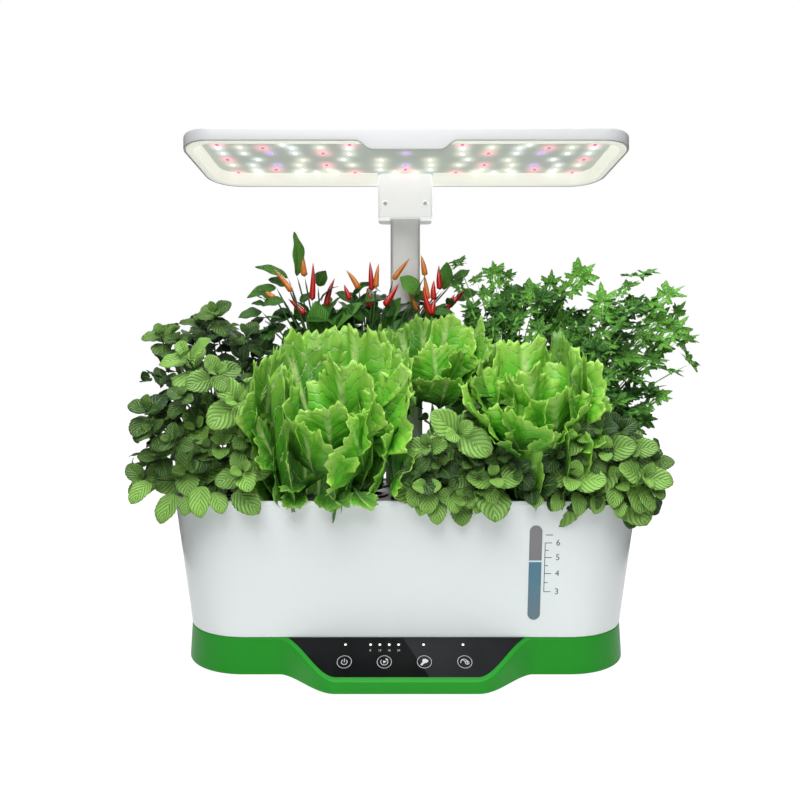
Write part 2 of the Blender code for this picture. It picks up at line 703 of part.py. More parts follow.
def water_tank():
    """White tank: a tapered cup with a soft foot, a band round its rim and a ledge for the deck."""
    bottom = SEAM_HEIGHT + GAP
    band = RIM_HEIGHT - LIP_HEIGHT
    inner_rim = RIM_RADIUS - TANK_WALL
    under_ledge = LEDGE_HEIGHT - LEDGE_WIDTH * 2
    fillet_top = TANK_FLOOR_TOP + TANK_FILLET
    profile = (
        (wall_radius(bottom) - EDGE_SOFT, bottom),
        (wall_radius(bottom + EDGE_SOFT), bottom + EDGE_SOFT),
        (wall_radius(band), band),
        (wall_radius(band) + LIP_PROUD, band + LIP_PROUD),
        (RIM_RADIUS, RIM_HEIGHT - EDGE_SOFT),
        (RIM_RADIUS - EDGE_SOFT, RIM_HEIGHT),
        (inner_rim, RIM_HEIGHT),
        (inner_rim, LEDGE_HEIGHT),
        (inner_rim - LEDGE_WIDTH, LEDGE_HEIGHT),
        (inner_rim - LEDGE_WIDTH, LEDGE_HEIGHT - LEDGE_WIDTH),
        (wall_radius(under_ledge) - TANK_WALL, under_ledge),
        (wall_radius(fillet_top) - TANK_WALL, fillet_top),
        (wall_radius(TANK_FLOOR_TOP) - TANK_WALL - TANK_FILLET, TANK_FLOOR_TOP),
    )
    piece = loft("water_tank", [at_height(stadium(radius), z) for radius, z in profile], WHITE_SHARES)
    cut(piece, gauge_slab("slot", GAP, OVERRUN, -TANK_WALL - OVERRUN))
    lead = circle(GROMMET_GROOVE_RADIUS + GAP, SMALL_STEPS, lead_x(), PUMP_Y)
    cut(piece, prism_mesh("lead_hole", lead, SEAM_HEIGHT - OVERRUN, TANK_FLOOR_TOP + OVERRUN))
    return piece


def gauge_slab(name, grow, out, back):
    """An upright rounded strip on the sloping front wall, between two depths square to its face."""
    half_height = (GAUGE_HIGH - GAUGE_LOW) / 2 / math.cos(TAPER_ANGLE)
    outline = rounded_rectangle(GAUGE_WIDTH / 2 + grow, half_height + grow, GAUGE_WIDTH / 2 + grow, 6)
    mesh = prism_mesh(name, outline, back, out)
    middle = (GAUGE_HIGH + GAUGE_LOW) / 2
    place = Vector((GAUGE_X, -wall_radius(middle), middle))
    return turned(mesh, Matrix.Translation(place) @ Matrix.Rotation(math.pi / 2 + TAPER_ANGLE, 4, "X"))


def gauge_window():
    """Clear gauge strip through the wall, with a wider flange behind it."""
    behind = -TANK_WALL - SEAL_THICKNESS - GAP * 2
    piece = add_object("gauge_window", gauge_slab("strip", 0, GAUGE_PROUD, behind), CLEAR_SHARES)
    join(piece, gauge_slab("flange", GAUGE_FLANGE, behind, behind - GAUGE_FLANGE_THICKNESS))
    return piece


def gauge_seal():
    """Rubber gasket between the tank's wall and the strip's flange."""
    front = -TANK_WALL - GAP
    seal = gauge_slab("seal", GAUGE_FLANGE, front, front - SEAL_THICKNESS)
    piece = add_object("gauge_seal", seal, RUBBER_SHARES)
    cut(piece, gauge_slab("seal_hole", GAP, front + OVERRUN, front - SEAL_THICKNESS - OVERRUN))
    return piece


def lead_x():
    """Where the pump's lead goes down through the tank's floor."""
    return PUMP_HALF_X * LEAD_X_SHARE


def lead_grommet():
    """Rubber grommet through housing and tank, lipped on both sides, with the pump's lead below it."""
    under = SEAM_HEIGHT - HOUSING_WALL - GAP
    above = TANK_FLOOR_TOP + GAP
    board_top = FLOOR_THICKNESS + BOARD_POST_HEIGHT + GAP + BOARD_THICKNESS
    profile = (
        (LEAD_RADIUS, board_top + GAP),
        (LEAD_RADIUS, under - GROMMET_LIP),
        (GROMMET_RADIUS, under - GROMMET_LIP),
        (GROMMET_RADIUS, under),
        (GROMMET_GROOVE_RADIUS, under),
        (GROMMET_GROOVE_RADIUS, above),
        (GROMMET_RADIUS, above),
        (GROMMET_RADIUS, above + GROMMET_LIP),
    )
    rings = [at_height(circle(radius, SMALL_STEPS, lead_x(), PUMP_Y), z) for radius, z in profile]
    return loft("lead_grommet", rings, RUBBER_SHARES)


def pump_outline(inset):
    """The pump block in plan, less an inset."""
    return rounded_rectangle(PUMP_HALF_X - inset, PUMP_HALF_Y - inset, PUMP_CORNER, 3, 0, PUMP_Y)


def pump_body():
    """Pump block on the tank's floor: impeller chamber and rotor well in its right face, spout on top."""
    top = PUMP_FLOOR + PUMP_HEIGHT
    soft = EDGE_SOFT * 2
    rings = [
        at_height(pump_outline(0.0), PUMP_FLOOR),
        at_height(pump_outline(0.0), top - soft),
        at_height(pump_outline(soft), top),
    ]
    piece = loft("pump_body", rings, DARK_SHARES)
    hollow = pump_outline(TANK_WALL)
    cut(piece, prism_mesh("foot_hollow", hollow, PUMP_FLOOR - OVERRUN, PUMP_FLOOR + PUMP_FOOT))
    face = PUMP_HALF_X
    chamber = prism_mesh("chamber", circle(CHAMBER_RADIUS), 0, CHAMBER_DEPTH + OVERRUN)
    cut(piece, along_x(chamber, face - CHAMBER_DEPTH, PUMP_Y, SHAFT_Z))
    depth = CHAMBER_DEPTH + ROTOR_WELL
    well = prism_mesh("well", circle(ROTOR_RADIUS + ROTOR_CLEARANCE), 0, depth)
    cut(piece, along_x(well, face - depth, PUMP_Y, SHAFT_Z))
    outlet = circle(RISER_BORE, SMALL_STEPS, face - CHAMBER_DEPTH / 2, PUMP_Y)
    cut(piece, prism_mesh("outlet", outlet, SHAFT_Z, top + OVERRUN))
    seat = circle(RISER_RADIUS + GAP, SMALL_STEPS, face - CHAMBER_DEPTH / 2, PUMP_Y)
    cut(piece, prism_mesh("riser_seat", seat, top - RISER_SEAT, top + OVERRUN))
    return piece


def impeller():
    """Rotor magnet and hub with straight blades, turning about the chamber's axis."""
    start = PUMP_HALF_X - CHAMBER_DEPTH - ROTOR_WELL + ROTOR_CLEARANCE
    hub_end = PUMP_HALF_X - ROTOR_CLEARANCE * 2
    mesh = prism_mesh("rotor", circle(ROTOR_RADIUS, SMALL_STEPS), 0, hub_end - start)
    piece = add_object("impeller", along_x(mesh, start, PUMP_Y, SHAFT_Z), WHITE_SHARES)
    low = PUMP_HALF_X - CHAMBER_DEPTH + ROTOR_CLEARANCE
    for quarter in range(2):
        blade = prism_mesh("blade", rectangle(BLADE_RADIUS, BLADE_THICKNESS / 2), 0, BLADE_WIDTH)
        turned(blade, Matrix.Rotation(quarter * math.pi / 2, 4, "Z"))
        join(piece, along_x(blade, low, PUMP_Y, SHAFT_Z))
    return piece


def pump_cover():
    """Cover over the chamber with the intake hole in its middle."""
    soft = EDGE_SOFT * 2
    outline = rounded_rectangle(PUMP_HEIGHT / 2 - soft, PUMP_HALF_Y - soft, PUMP_CORNER, 3)
    place = (PUMP_HALF_X + GAP, PUMP_Y, SHAFT_Z)
    cover = prism_mesh("cover", outline, 0, COVER_THICKNESS)
    piece = add_object("pump_cover", along_x(cover, *place), DARK_SHARES)
    hole = prism_mesh("intake", circle(INTAKE_RADIUS, SMALL_STEPS), -OVERRUN, COVER_THICKNESS + OVERRUN)
    cut(piece, along_x(hole, *place))
    return piece


def pump_riser():
    """Upright tube from the pump's spout to just under the deck."""
    x = PUMP_HALF_X - CHAMBER_DEPTH / 2
    low = PUMP_FLOOR + PUMP_HEIGHT - RISER_SEAT + GAP
    outer = circle(RISER_RADIUS, SMALL_STEPS, x, PUMP_Y)
    inner = circle(RISER_BORE, SMALL_STEPS, x, PUMP_Y)
    return tube("pump_riser", outer, inner, low, RISER_TOP, CLEAR_SHARES)


def pod_places():
    """Pod centres, column by column from the left, front row first."""
    first = -(POD_COLUMNS - 1) / 2
    places = []
    for column in range(POD_COLUMNS):
        for row in range(POD_ROWS):
            places.append(((first + column) * POD_PITCH, (row * 2 - 1) * POD_ROW))
    return places


def grow_deck():
    """Dark deck: a flanged plate with a skirt, pod holes, and the collared fill port with its lid's ears."""
    skirt = FLANGE_RADIUS - LEDGE_WIDTH - SLIDE_GAP
    under = DECK_TOP - DECK_PLATE
    piece = loft(
        "grow_deck",
        [
            at_height(stadium(skirt - DECK_SKIRT_WALL), under),
            at_height(stadium(skirt - DECK_SKIRT_WALL), DECK_TOP - DECK_SKIRT),
            at_height(stadium(skirt), DECK_TOP - DECK_SKIRT),
            at_height(stadium(skirt), DECK_TOP - DECK_FLANGE),
            at_height(stadium(FLANGE_RADIUS), DECK_TOP - DECK_FLANGE),
            at_height(stadium(FLANGE_RADIUS), DECK_TOP - EDGE_SOFT),
            at_height(stadium(FLANGE_RADIUS - EDGE_SOFT), DECK_TOP),
        ],
        DARK_SHARES,
    )
    for x, y in pod_places():
        hole = circle(POT_TOP_RADIUS + SLIDE_GAP, POT_STEPS, x, y)
        cut(piece, prism_mesh("pod_hole", hole, under - OVERRUN, DECK_TOP + OVERRUN))
    wall = PORT_COLLAR_WALL
    collar = rounded_rectangle(PORT_HALF_X + wall, PORT_HALF_Y + wall, PORT_CORNER + wall, 3, 0, PORT_Y)
    join(piece, prism_mesh("collar", collar, DECK_TOP - PORT_COLLAR, under + DECK_PLATE / 2))
    port = rounded_rectangle(PORT_HALF_X, PORT_HALF_Y, PORT_CORNER, 3, 0, PORT_Y)
    cut(piece, prism_mesh("port", port, DECK_TOP - PORT_COLLAR - OVERRUN, DECK_TOP + OVERRUN))
    for side in (-1, 1):
        x = side * (LID_KNUCKLE_HALF + GAP + LID_EAR_WIDTH / 2)
        ear = rectangle(LID_EAR_WIDTH / 2, LID_EAR_RADIUS, x, LID_HINGE_Y)
        join(piece, prism_mesh("ear", ear, under + DECK_PLATE / 2, LID_HINGE_Z))
        head = circle(LID_EAR_RADIUS, SMALL_STEPS)
        head = prism_mesh("ear_head", head, -LID_EAR_WIDTH / 2, LID_EAR_WIDTH / 2)
        join(piece, along_x(head, x, LID_HINGE_Y, LID_HINGE_Z))
    cut(piece, lid_bore())
    return piece


def lid_bore():
    """The pin's bore through the ears and the knuckle."""
    half = LID_KNUCKLE_HALF + LID_EAR_WIDTH + OVERRUN
    bore = prism_mesh("pin_bore", circle(LID_BORE_RADIUS, TINY_STEPS), -half, half)
    return along_x(bore, 0, LID_HINGE_Y, LID_HINGE_Z)


def fill_lid():
    """Lid of the fill port: a soft-edged plate with a finger tab in front and a knuckle behind."""
    low = DECK_TOP + GAP
    half_x = PORT_HALF_X + LID_LAP
    half_y = PORT_HALF_Y + LID_LAP
    outline = rounded_rectangle(half_x, half_y, PORT_CORNER, 3, 0, PORT_Y)
    small = rounded_rectangle(half_x - EDGE_SOFT, half_y - EDGE_SOFT, PORT_CORNER, 3, 0, PORT_Y)
    high = low + LID_THICKNESS
    rings = [at_height(outline, low), at_height(outline, high - EDGE_SOFT), at_height(small, high)]
    piece = loft("fill_lid", rings, DARK_SHARES)
    tab = rounded_rectangle(LID_TAB, LID_TAB, EDGE_SOFT * 2, 2, 0, PORT_Y - half_y)
    join(piece, prism_mesh("tab", tab, low, high))
    knuckle = circle(LID_KNUCKLE_RADIUS, SMALL_STEPS)
    knuckle = prism_mesh("knuckle", knuckle, -LID_KNUCKLE_HALF, LID_KNUCKLE_HALF)
    join(piece, along_x(knuckle, 0, LID_HINGE_Y, LID_HINGE_Z))
    neck = rectangle(LID_KNUCKLE_HALF, LID_KNUCKLE_RADIUS, 0, LID_HINGE_Y - LID_KNUCKLE_RADIUS)
    join(piece, prism_mesh("neck", neck, low, high))
    cut(piece, lid_bore())
    return piece


def lid_pin():
    """Steel pin through the ears and the lid's knuckle."""
    half = LID_KNUCKLE_HALF + GAP + LID_EAR_WIDTH
    mesh = prism_mesh("pin", circle(LID_PIN_RADIUS, TINY_STEPS), -half, half)
    return add_object("lid_pin", along_x(mesh, 0, LID_HINGE_Y, LID_HINGE_Z), STEEL_SHARES)


def net_pot(index, x, y):
    """Slotted basket that hangs in the deck by its flange."""
    low = DECK_TOP - POT_DEPTH
    top = DECK_TOP + GAP
    rim = top + POT_RIM_THICKNESS
    piece = loft(
        f"net_pot_{index:02d}",
        [
            at_height(circle(POT_FOOT_RADIUS, POT_STEPS, x, y), low),
            at_height(circle(POT_TOP_RADIUS, POT_STEPS, x, y), top),
            at_height(circle(POT_RIM_RADIUS, POT_STEPS, x, y), top),
            at_height(circle(POT_RIM_RADIUS - EDGE_SOFT, POT_STEPS, x, y), rim),
            at_height(circle(POT_TOP_RADIUS - POT_WALL, POT_STEPS, x, y), rim),
            at_height(circle(POT_FOOT_RADIUS - POT_WALL, POT_STEPS, x, y), low + POT_WALL),
        ],
        DARK_SHARES,
    )
    bottom = low + POT_DEPTH * SLOT_SHARES[0]
    slot_top = low + POT_DEPTH * SLOT_SHARES[1]
    for turn in range(2):
        mesh = prism_mesh("slot", rectangle(POT_RIM_RADIUS, SLOT_WIDTH / 2), bottom, slot_top)
        turned(mesh, Matrix.Rotation(math.pi * (1 + 2 * turn) / 4, 4, "Z"))
        cut(piece, turned(mesh, Matrix.Translation(Vector((x, y, 0)))))
    return piece


def pot_inside(height):
    """Inner radius of a net pot at a height."""
    share = (height - DECK_TOP + POT_DEPTH) / POT_DEPTH
    return POT_FOOT_RADIUS + (POT_TOP_RADIUS - POT_FOOT_RADIUS) * share - POT_WALL


def sponge_rings(x, y, steps):
    """Grow sponge in its pot: a plain tapered plug, up to the stalk's foot."""
    flat = math.cos(math.pi / POT_STEPS)
    low = DECK_TOP - POT_DEPTH + POT_WALL + GAP
    high = low + POT_DEPTH * SPONGE_HEIGHT_SHARE
    return [
        at_height(circle((pot_inside(low) - GAP * 2) * flat, steps, x, y), low),
        at_height(circle((pot_inside(high) - GAP * 2) * flat, steps, x, y), high),
    ]


def pod_of(name):
    """Centre of the pod that a plant grows in."""
    return pod_places()[POD_ORDER.index(name)]


def plant_top(name):
    """Height of a plant's top."""
    return RIM_HEIGHT + PLANTS[name][0]


def plant_path(name, height):
    """Centre of a plant's crown at a height: straight up from its pod, leaning towards the light."""
    rise, _, lean_x, lean_y = PLANTS[name]
    x, y = pod_of(name)
    share = max(0.0, min(1.0, (height - RIM_HEIGHT) / rise))
    ease = share * (2 - share)
    return np.array([x + lean_x * ease, y + lean_y * ease])


def room_around(name, height, angles, radii):
    """Keeps a crown's ring inside its own cell: short of halfway to each neighbour, mast and fill port."""
    centre = plant_path(name, height)
    directions = np.column_stack([np.cos(angles), np.sin(angles)])
    vigour = VIGOUR_SHARES.get(name, 1)
    limits = []
    for other in PLANTS:
        if other == name or plant_top(other) + CROWN_CLEAR < height:
            continue
        away = plant_path(other, height) - centre
        distance = np.hypot(*away)
        share = vigour / (vigour + VIGOUR_SHARES.get(other, 1))
        limits.append((away / distance, distance * share - CROWN_GAP / 2))
    near_lamp = height > BRACKET_LOW - BRACKET_KEEP_OUT_DROP
    obstacles = [(0.0, MAST_Y, BRACKET_KEEP_OUT if near_lamp else MAST_KEEP_OUT)]
    if height < RIM_HEIGHT + PORT_KEEP_OUT_RISE:
        obstacles.append((0.0, PORT_Y + PORT_KEEP_OUT_SETBACK, PORT_KEEP_OUT))
    for x, y, keep_out in obstacles:
        away = np.array([x, y]) - centre
        distance = np.hypot(*away)
        limits.append((away / distance, distance - keep_out))
    for normal, bound in limits:
        along = directions @ normal
        towards = along > 0
        radii[towards] = np.minimum(radii[towards], bound / along[towards])
    return centre, directions, radii


def crown_ring(name, height, reach, turn, lobe_share, lift=0.0, shrink=1.0):
    """A ring of leaf tips: a lobed circle cut back to the plant's own cell, its tips lifted."""
    angles = np.arange(CROWN_STEPS) * 2 * math.pi / CROWN_STEPS
    radii = reach * (1 - lobe_share + lobe_share * np.cos(CROWN_LOBE_STEPS * angles + turn))
    centre, directions, radii = room_around(name, height, angles, radii)
    heights = height + lift * radii / reach
    return at_height(centre + directions * (radii * shrink)[:, None], heights)


def herb_rings(name, start):
    """Whorls of leaves up a stem: each tier steps out to a deep star and back in."""
    rise, reach = PLANTS[name][:2]
    tiers = min(max(round(rise / HERB_TIER_PITCH), HERB_FEWEST_STEPS), HERB_MOST_STEPS)
    step = (plant_top(name) - start) / tiers
    rings = []
    for tier in range(tiers):
        share = tier / (tiers - 1)
        spread = reach * (1 - HERB_NARROWING_SHARE * share * share)
        height = start + step * (tier + HERB_TIER_SHARES[0])
        lift = spread * HERB_LIFT_SHARE * (share if tier else 0)
        rings.append(crown_ring(name, height, STEM_RADIUS, 0, 0))
        rings.append(crown_ring(name, height + GAP, spread, tier * math.pi, HERB_LOBE_SHARE, lift))
        rings.append(crown_ring(name, height + step * HERB_TIER_SHARES[1], STEM_RADIUS, 0, 0))
    return rings


def lettuce_rings(name, start):
    """Nested cups of leaves: each tier goes up its outside and down its inside."""
    top, reach = plant_top(name), PLANTS[name][1]
    rings = []
    foot = reach * LETTUCE_FOOT_SHARE
    for tier, (reach_share, rise_share) in enumerate(zip(LETTUCE_REACH_SHARES, LETTUCE_RISE_SHARES)):
        spread = reach * reach_share
        height = start + (top - start) * rise_share
        base = start + (height - start) * tier * LETTUCE_FOOT_SHARE
        turn = tier * math.pi
        inside = base + (height - base) * LETTUCE_FOOT_SHARE
        rings.append(crown_ring(name, base, foot, 0, 0))
        rings.append(crown_ring(name, height, spread, turn, LETTUCE_LOBE_SHARE))
        rings.append(crown_ring(name, height, spread, turn, LETTUCE_LOBE_SHARE, 0, LETTUCE_WALL_SHARE))
        rings.append(crown_ring(name, inside, foot * LETTUCE_WALL_SHARE, 0, 0))
        foot *= LETTUCE_WALL_SHARE * LETTUCE_WALL_SHARE
    return rings


def plant(name):
    """A plant with its sponge: the plug in its pot, a short stalk, then its leaves."""
    top, reach = plant_top(name), PLANTS[name][1]
    x, y = pod_of(name)
    rings = sponge_rings(x, y, CROWN_STEPS)
    rings.append(at_height(circle(STALK_RADIUS, CROWN_STEPS, x, y), rings[-1][0][2]))
    start = RIM_HEIGHT + CROWN_CLEAR
    rings.append(at_height(circle(STALK_RADIUS, CROWN_STEPS, x, y), start - CROWN_CLEAR / 2))
    if name.startswith("lettuce"):
        rings += lettuce_rings(name, start)
        heart = rings[-1][0][2] + (top - start) * LETTUCE_HEART_SHARE
        rings.append(crown_ring(name, heart, reach * LETTUCE_FOOT_SHARE / 2, 0, 0))
    else:
        rings += herb_rings(name, start)
        rings.append(crown_ring(name, top, STEM_RADIUS / 2, 0, 0))
    return loft(name, rings, LEAF_SHARES)


def bare_sponge(name, x, y):
    """A sponge in a pod that has no plant yet."""
    return loft(name, sponge_rings(x, y, POT_STEPS), SPONGE_SHARES)


def mast_outline(width, depth, corner):
    """The mast's flat rounded section."""
    return rounded_rectangle(width / 2, depth / 2, corner, 3, 0, MAST_Y)


def tube(name, outer, inner, low, high, finish):
    """An upright tube between two outlines of equal count."""
    rings = [at_height(outer, low), at_height(outer, high), at_height(inner, high), at_height(inner, low)]
    return loft(name, rings, finish, closed_loop=True)


def mast_inner_tube():
    """Satin tube that carries the lamp and slides in the outer one."""
    outer = mast_outline(INNER_WIDTH, INNER_DEPTH, INNER_CORNER)
    thin = 2 * INNER_WALL
    inner = mast_outline(INNER_WIDTH - thin, INNER_DEPTH - thin, INNER_CORNER - INNER_WALL)
    return tube("mast_inner_tube", outer, inner, INNER_BOTTOM, INNER_TOP, SATIN_METAL_SHARES)


def mast_outer_tube():
    """Fixed outer tube that stands in the deck's socket."""
    outer = mast_outline(OUTER_WIDTH, OUTER_DEPTH, OUTER_CORNER)
    bore = mast_outline(INNER_WIDTH + 2 * SLIDE_GAP, INNER_DEPTH + 2 * SLIDE_GAP, INNER_CORNER + SLIDE_GAP)
    return tube("mast_outer_tube", outer, bore, DECK_TOP + GAP, OUTER_TOP, SATIN_METAL_SHARES)


def mast_socket():
    """White socket on the deck that the outer tube stands in."""
    inner = mast_outline(OUTER_WIDTH + 2 * GAP, OUTER_DEPTH + 2 * GAP, OUTER_CORNER + GAP)
    grow = 2 * (GAP + SOCKET_WALL)
    outer = mast_outline(OUTER_WIDTH + grow, OUTER_DEPTH + grow, OUTER_CORNER + GAP + SOCKET_WALL)
    return tube("mast_socket", outer, inner, DECK_TOP + GAP, DECK_TOP + GAP + SOCKET_HEIGHT, WHITE_SHARES)


def mast_collar():
    """Collar on the outer tube's top, whose cap guides the inner tube."""
    grow = 2 * (GAP + COLLAR_WALL)
    outer = mast_outline(OUTER_WIDTH + grow, OUTER_DEPTH + grow, OUTER_CORNER + GAP + COLLAR_WALL)
    seat = mast_outline(OUTER_WIDTH + 2 * GAP, OUTER_DEPTH + 2 * GAP, OUTER_CORNER + GAP)
    bore = mast_outline(INNER_WIDTH + 2 * SLIDE_GAP, INNER_DEPTH + 2 * SLIDE_GAP, INNER_CORNER + SLIDE_GAP)
    low = OUTER_TOP - COLLAR_HEIGHT
    rings = [
        at_height(outer, low),
        at_height(outer, OUTER_TOP + COLLAR_CAP),
        at_height(bore, OUTER_TOP + COLLAR_CAP),
        at_height(bore, OUTER_TOP + GAP),
        at_height(seat, OUTER_TOP + GAP),
        at_height(seat, low),
    ]
    return loft("mast_collar", rings, WHITE_SHARES, closed_loop=True)


def bracket_outline(inset):
    """The bracket block in plan, less an inset."""
    half_y = (BRACKET_REAR - BRACKET_FRONT) / 2 - inset
    corner = BRACKET_CORNER - inset
    return rounded_rectangle(BRACKET_WIDTH / 2 - inset, half_y, corner, 4, 0, BRACKET_SPLIT_Y)


def bracket_half(name, side):
    """Front (-1) or back (1) half of the block: the block less its other half, the tube and the screws."""
    low = BRACKET_LOW
    rings = [
        at_height(bracket_outline(EDGE_SOFT), low),
        at_height(bracket_outline(0.0), low + EDGE_SOFT),
        at_height(bracket_outline(0.0), BRACKET_TOP),
    ]
    piece = loft(name, rings, WHITE_SHARES)
    depth = BRACKET_REAR - BRACKET_FRONT
    middle = BRACKET_SPLIT_Y - side * (depth - GAP) / 2
    other = rectangle(BRACKET_WIDTH, depth / 2, 0, middle)
    cut(piece, prism_mesh("other_half", other, low - OVERRUN, BRACKET_TOP + OVERRUN))
    seat = mast_outline(INNER_WIDTH + 2 * GAP, INNER_DEPTH + 2 * GAP, INNER_CORNER + GAP)
    cut(piece, prism_mesh("tube_seat", seat, low - OVERRUN, INNER_TOP + GAP))
    for x in (-SCREW_X, SCREW_X):
        height = low + SCREW_RISE
        shank = circle(SCREW_SHANK_RADIUS + GAP, TINY_STEPS)
        shank = prism_mesh("screw_hole", shank, -OVERRUN, depth - SCREW_RECESS_DEPTH)
        cut(piece, along_y(shank, x, BRACKET_REAR - SCREW_RECESS_DEPTH * 2, height))
        recess = circle(SCREW_RECESS_RADIUS, SMALL_STEPS)
        recess = prism_mesh("screw_recess", recess, 0, SCREW_RECESS_DEPTH + OVERRUN)
        cut(piece, along_y(recess, x, BRACKET_FRONT + SCREW_RECESS_DEPTH, height))
    return piece


def bracket_screw(name, x):
    """Pan-head screw that clamps the halves round the tube."""
    depth = BRACKET_REAR - BRACKET_FRONT
    head = SCREW_RECESS_RADIUS - GAP * 2
    length = depth - SCREW_RECESS_DEPTH * 3
    profile = (
        (SCREW_SHANK_RADIUS, 0),
        (SCREW_SHANK_RADIUS, length),
        (head, length),
        (head, length + SCREW_HEAD_HEIGHT / 2),
        (head * SCREW_CROWN_SHARE, length + SCREW_HEAD_HEIGHT),
    )
    mesh = loft_mesh(name, [at_height(circle(radius, TINY_STEPS), z) for radius, z in profile])
    start = BRACKET_FRONT + SCREW_RECESS_DEPTH - GAP + length
    return add_object(name, along_y(mesh, x, start, BRACKET_LOW + SCREW_RISE), STEEL_SHARES)


def grip_curve():
    """Half-widths and drops of the grip: an S-curve from the lamp's lower edge down to the grip's."""
    share = np.linspace(0, 1, GRIP_STEPS + 1)
    ease = share * share * (3 - 2 * share)
    return GRIP_TOP_HALF + (GRIP_LOW_HALF - GRIP_TOP_HALF) * share, GRIP_DROP * ease


def lamp_outline(inset):
    """The lamp in plan, less an inset."""
    half_y = LAMP_HALF_Y - inset
    corner = max(LAMP_CORNER - inset, half_y * LAMP_SOFT_SHARE)
    return rounded_rectangle(LAMP_HALF_X - inset, half_y, corner, LAMP_CORNER_STEPS, 0, LAMP_MID_Y)


def shell_ring(inset, height, dip=False):
    """The shell at an inset and height, with the grip's points along its front, which may dip."""
    outline = lamp_outline(inset)
    x, drop = grip_curve()
    front = np.column_stack([np.append(-x, x[::-1]), np.full(2 * len(x), outline[:, 1].min())])
    lowered = height - np.append(drop, drop[::-1]) * dip
    start = len(outline) * 3 // 4
    return np.insert(at_height(outline, height), start, at_height(front, lowered), axis=0)


def lamp_notch(grow, high):
    """The space that the bracket takes in the lamp's rear edge."""
    depth = BRACKET_REAR - BRACKET_FRONT
    outline = rectangle(BRACKET_WIDTH / 2 + grow, depth / 2 + grow, 0, BRACKET_SPLIT_Y)
    return prism_mesh("notch", outline, BRACKET_LOW, high)


def lamp_shell():
    """White top cover of even wall: low sides, a domed top, and the grip that dips at the front's middle."""
    dome = list(zip(DOME_INSETS, DOME_RISE_SHARES))
    under = WALL_TOP - CEILING_DROP
    rings = [shell_ring(inset + SHELL_WALL, under + DOME_RISE * share) for inset, share in dome[::-1]]
    rings.append(shell_ring(SHELL_WALL, under - DOME_INSETS[0]))
    rings.append(shell_ring(SHELL_WALL, LAMP_RIM_HEIGHT, True))
    rings.append(shell_ring(EDGE_SOFT, LAMP_RIM_HEIGHT, True))
    rings.append(shell_ring(0.0, LAMP_RIM_HEIGHT + EDGE_SOFT, True))
    rings.append(shell_ring(0.0, WALL_TOP - DOME_INSETS[0]))
    rings += [shell_ring(inset, WALL_TOP + DOME_RISE * share) for inset, share in dome]
    piece = loft("lamp_shell", rings, WHITE_SHARES)
    cut(piece, lamp_notch(GAP, BOARD_PLANE))
    return piece


def lamp_frame():
    """White inner frame: flat face at the lamp's rim, then a wall that slants up to the board."""
    profile = (
        (SHELL_WALL + GAP, LAMP_RIM_HEIGHT),
        (FRAME_FACE, LAMP_RIM_HEIGHT),
        (FRAME_FACE + FRAME_SLOPE, BOARD_PLANE - GAP),
        (FRAME_FACE + FRAME_SLOPE - FRAME_WALL, BOARD_PLANE - GAP),
        (FRAME_FACE - FRAME_WALL / 2, LAMP_RIM_HEIGHT + FRAME_WALL),
        (SHELL_WALL + GAP, LAMP_RIM_HEIGHT + FRAME_WALL),
    )
    rings = [at_height(lamp_outline(inset), z) for inset, z in profile]
    piece = loft("lamp_frame", rings, CREAM_SHARES, closed_loop=True)
    cut(piece, lamp_notch(GAP, BOARD_PLANE))
    return piece


def led_board():
    """Aluminium board laid on the frame and the bracket, with rows of diodes on its underside."""
    outline = lamp_outline(FRAME_FACE + FRAME_SLOPE - LED_BOARD_LAP)
    high = BOARD_PLANE + LED_BOARD_THICKNESS
    piece = add_object("led_board", prism_mesh("board", outline, BOARD_PLANE, high), PALE_BOARD_SHARES)
    for row in LED_ROW_SHARES:
        for column in LED_COLUMN_SHARES:
            place = (LAMP_HALF_X * column, LAMP_MID_Y + LAMP_HALF_Y * row)
            diode = rectangle(LED_HALF, LED_HALF, *place)
            join(piece, prism_mesh("diode", diode, BOARD_PLANE - LED_HEIGHT, high - LED_BOARD_THICKNESS / 2))
    return piece


def main():
    """Clears the scene and makes every piece."""
    for old in list(bpy.data.objects):
        bpy.data.objects.remove(old, do_unlink=True)
    base_housing()
    base_floor()
    corners = ((-FOOT_X, -FOOT_Y), (FOOT_X, -FOOT_Y), (-FOOT_X, FOOT_Y), (FOOT_X, FOOT_Y))
    for index, (x, y) in enumerate(corners, 1):
        foot(index, x, y)
    control_panel()
    light_guide()
    touch_board()
    control_board()
    power_jack()
    water_tank()
    gauge_window()
    gauge_seal()
    lead_grommet()
    pump_body()
    impeller()
    pump_cover()
    pump_riser()
    grow_deck()
    fill_lid()
    lid_pin()
    for index, (x, y) in enumerate(pod_places(), 1):
        net_pot(index, x, y)
        if POD_ORDER[index - 1] not in PLANTS:
            bare_sponge(f"grow_sponge_{index:02d}", x, y)
    for name in PLANTS:
        plant(name)
    mast_socket()
    mast_outer_tube()
    mast_collar()
    mast_inner_tube()
    bracket_half("bracket_front", -1)
    bracket_half("bracket_back", 1)
    bracket_screw("bracket_screw_left", -SCREW_X)
    bracket_screw("bracket_screw_right", SCREW_X)
    lamp_shell()
    lamp_frame()
    led_board()


main()
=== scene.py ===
"""Looks of a tabletop hydroponic grow system: tank, touch-panel base, lamp on its mast, and the planted deck.

Metres, +Z up, the front faces -Y. Every piece is fitted to the fixed frame, which holds the real sizes.
"""

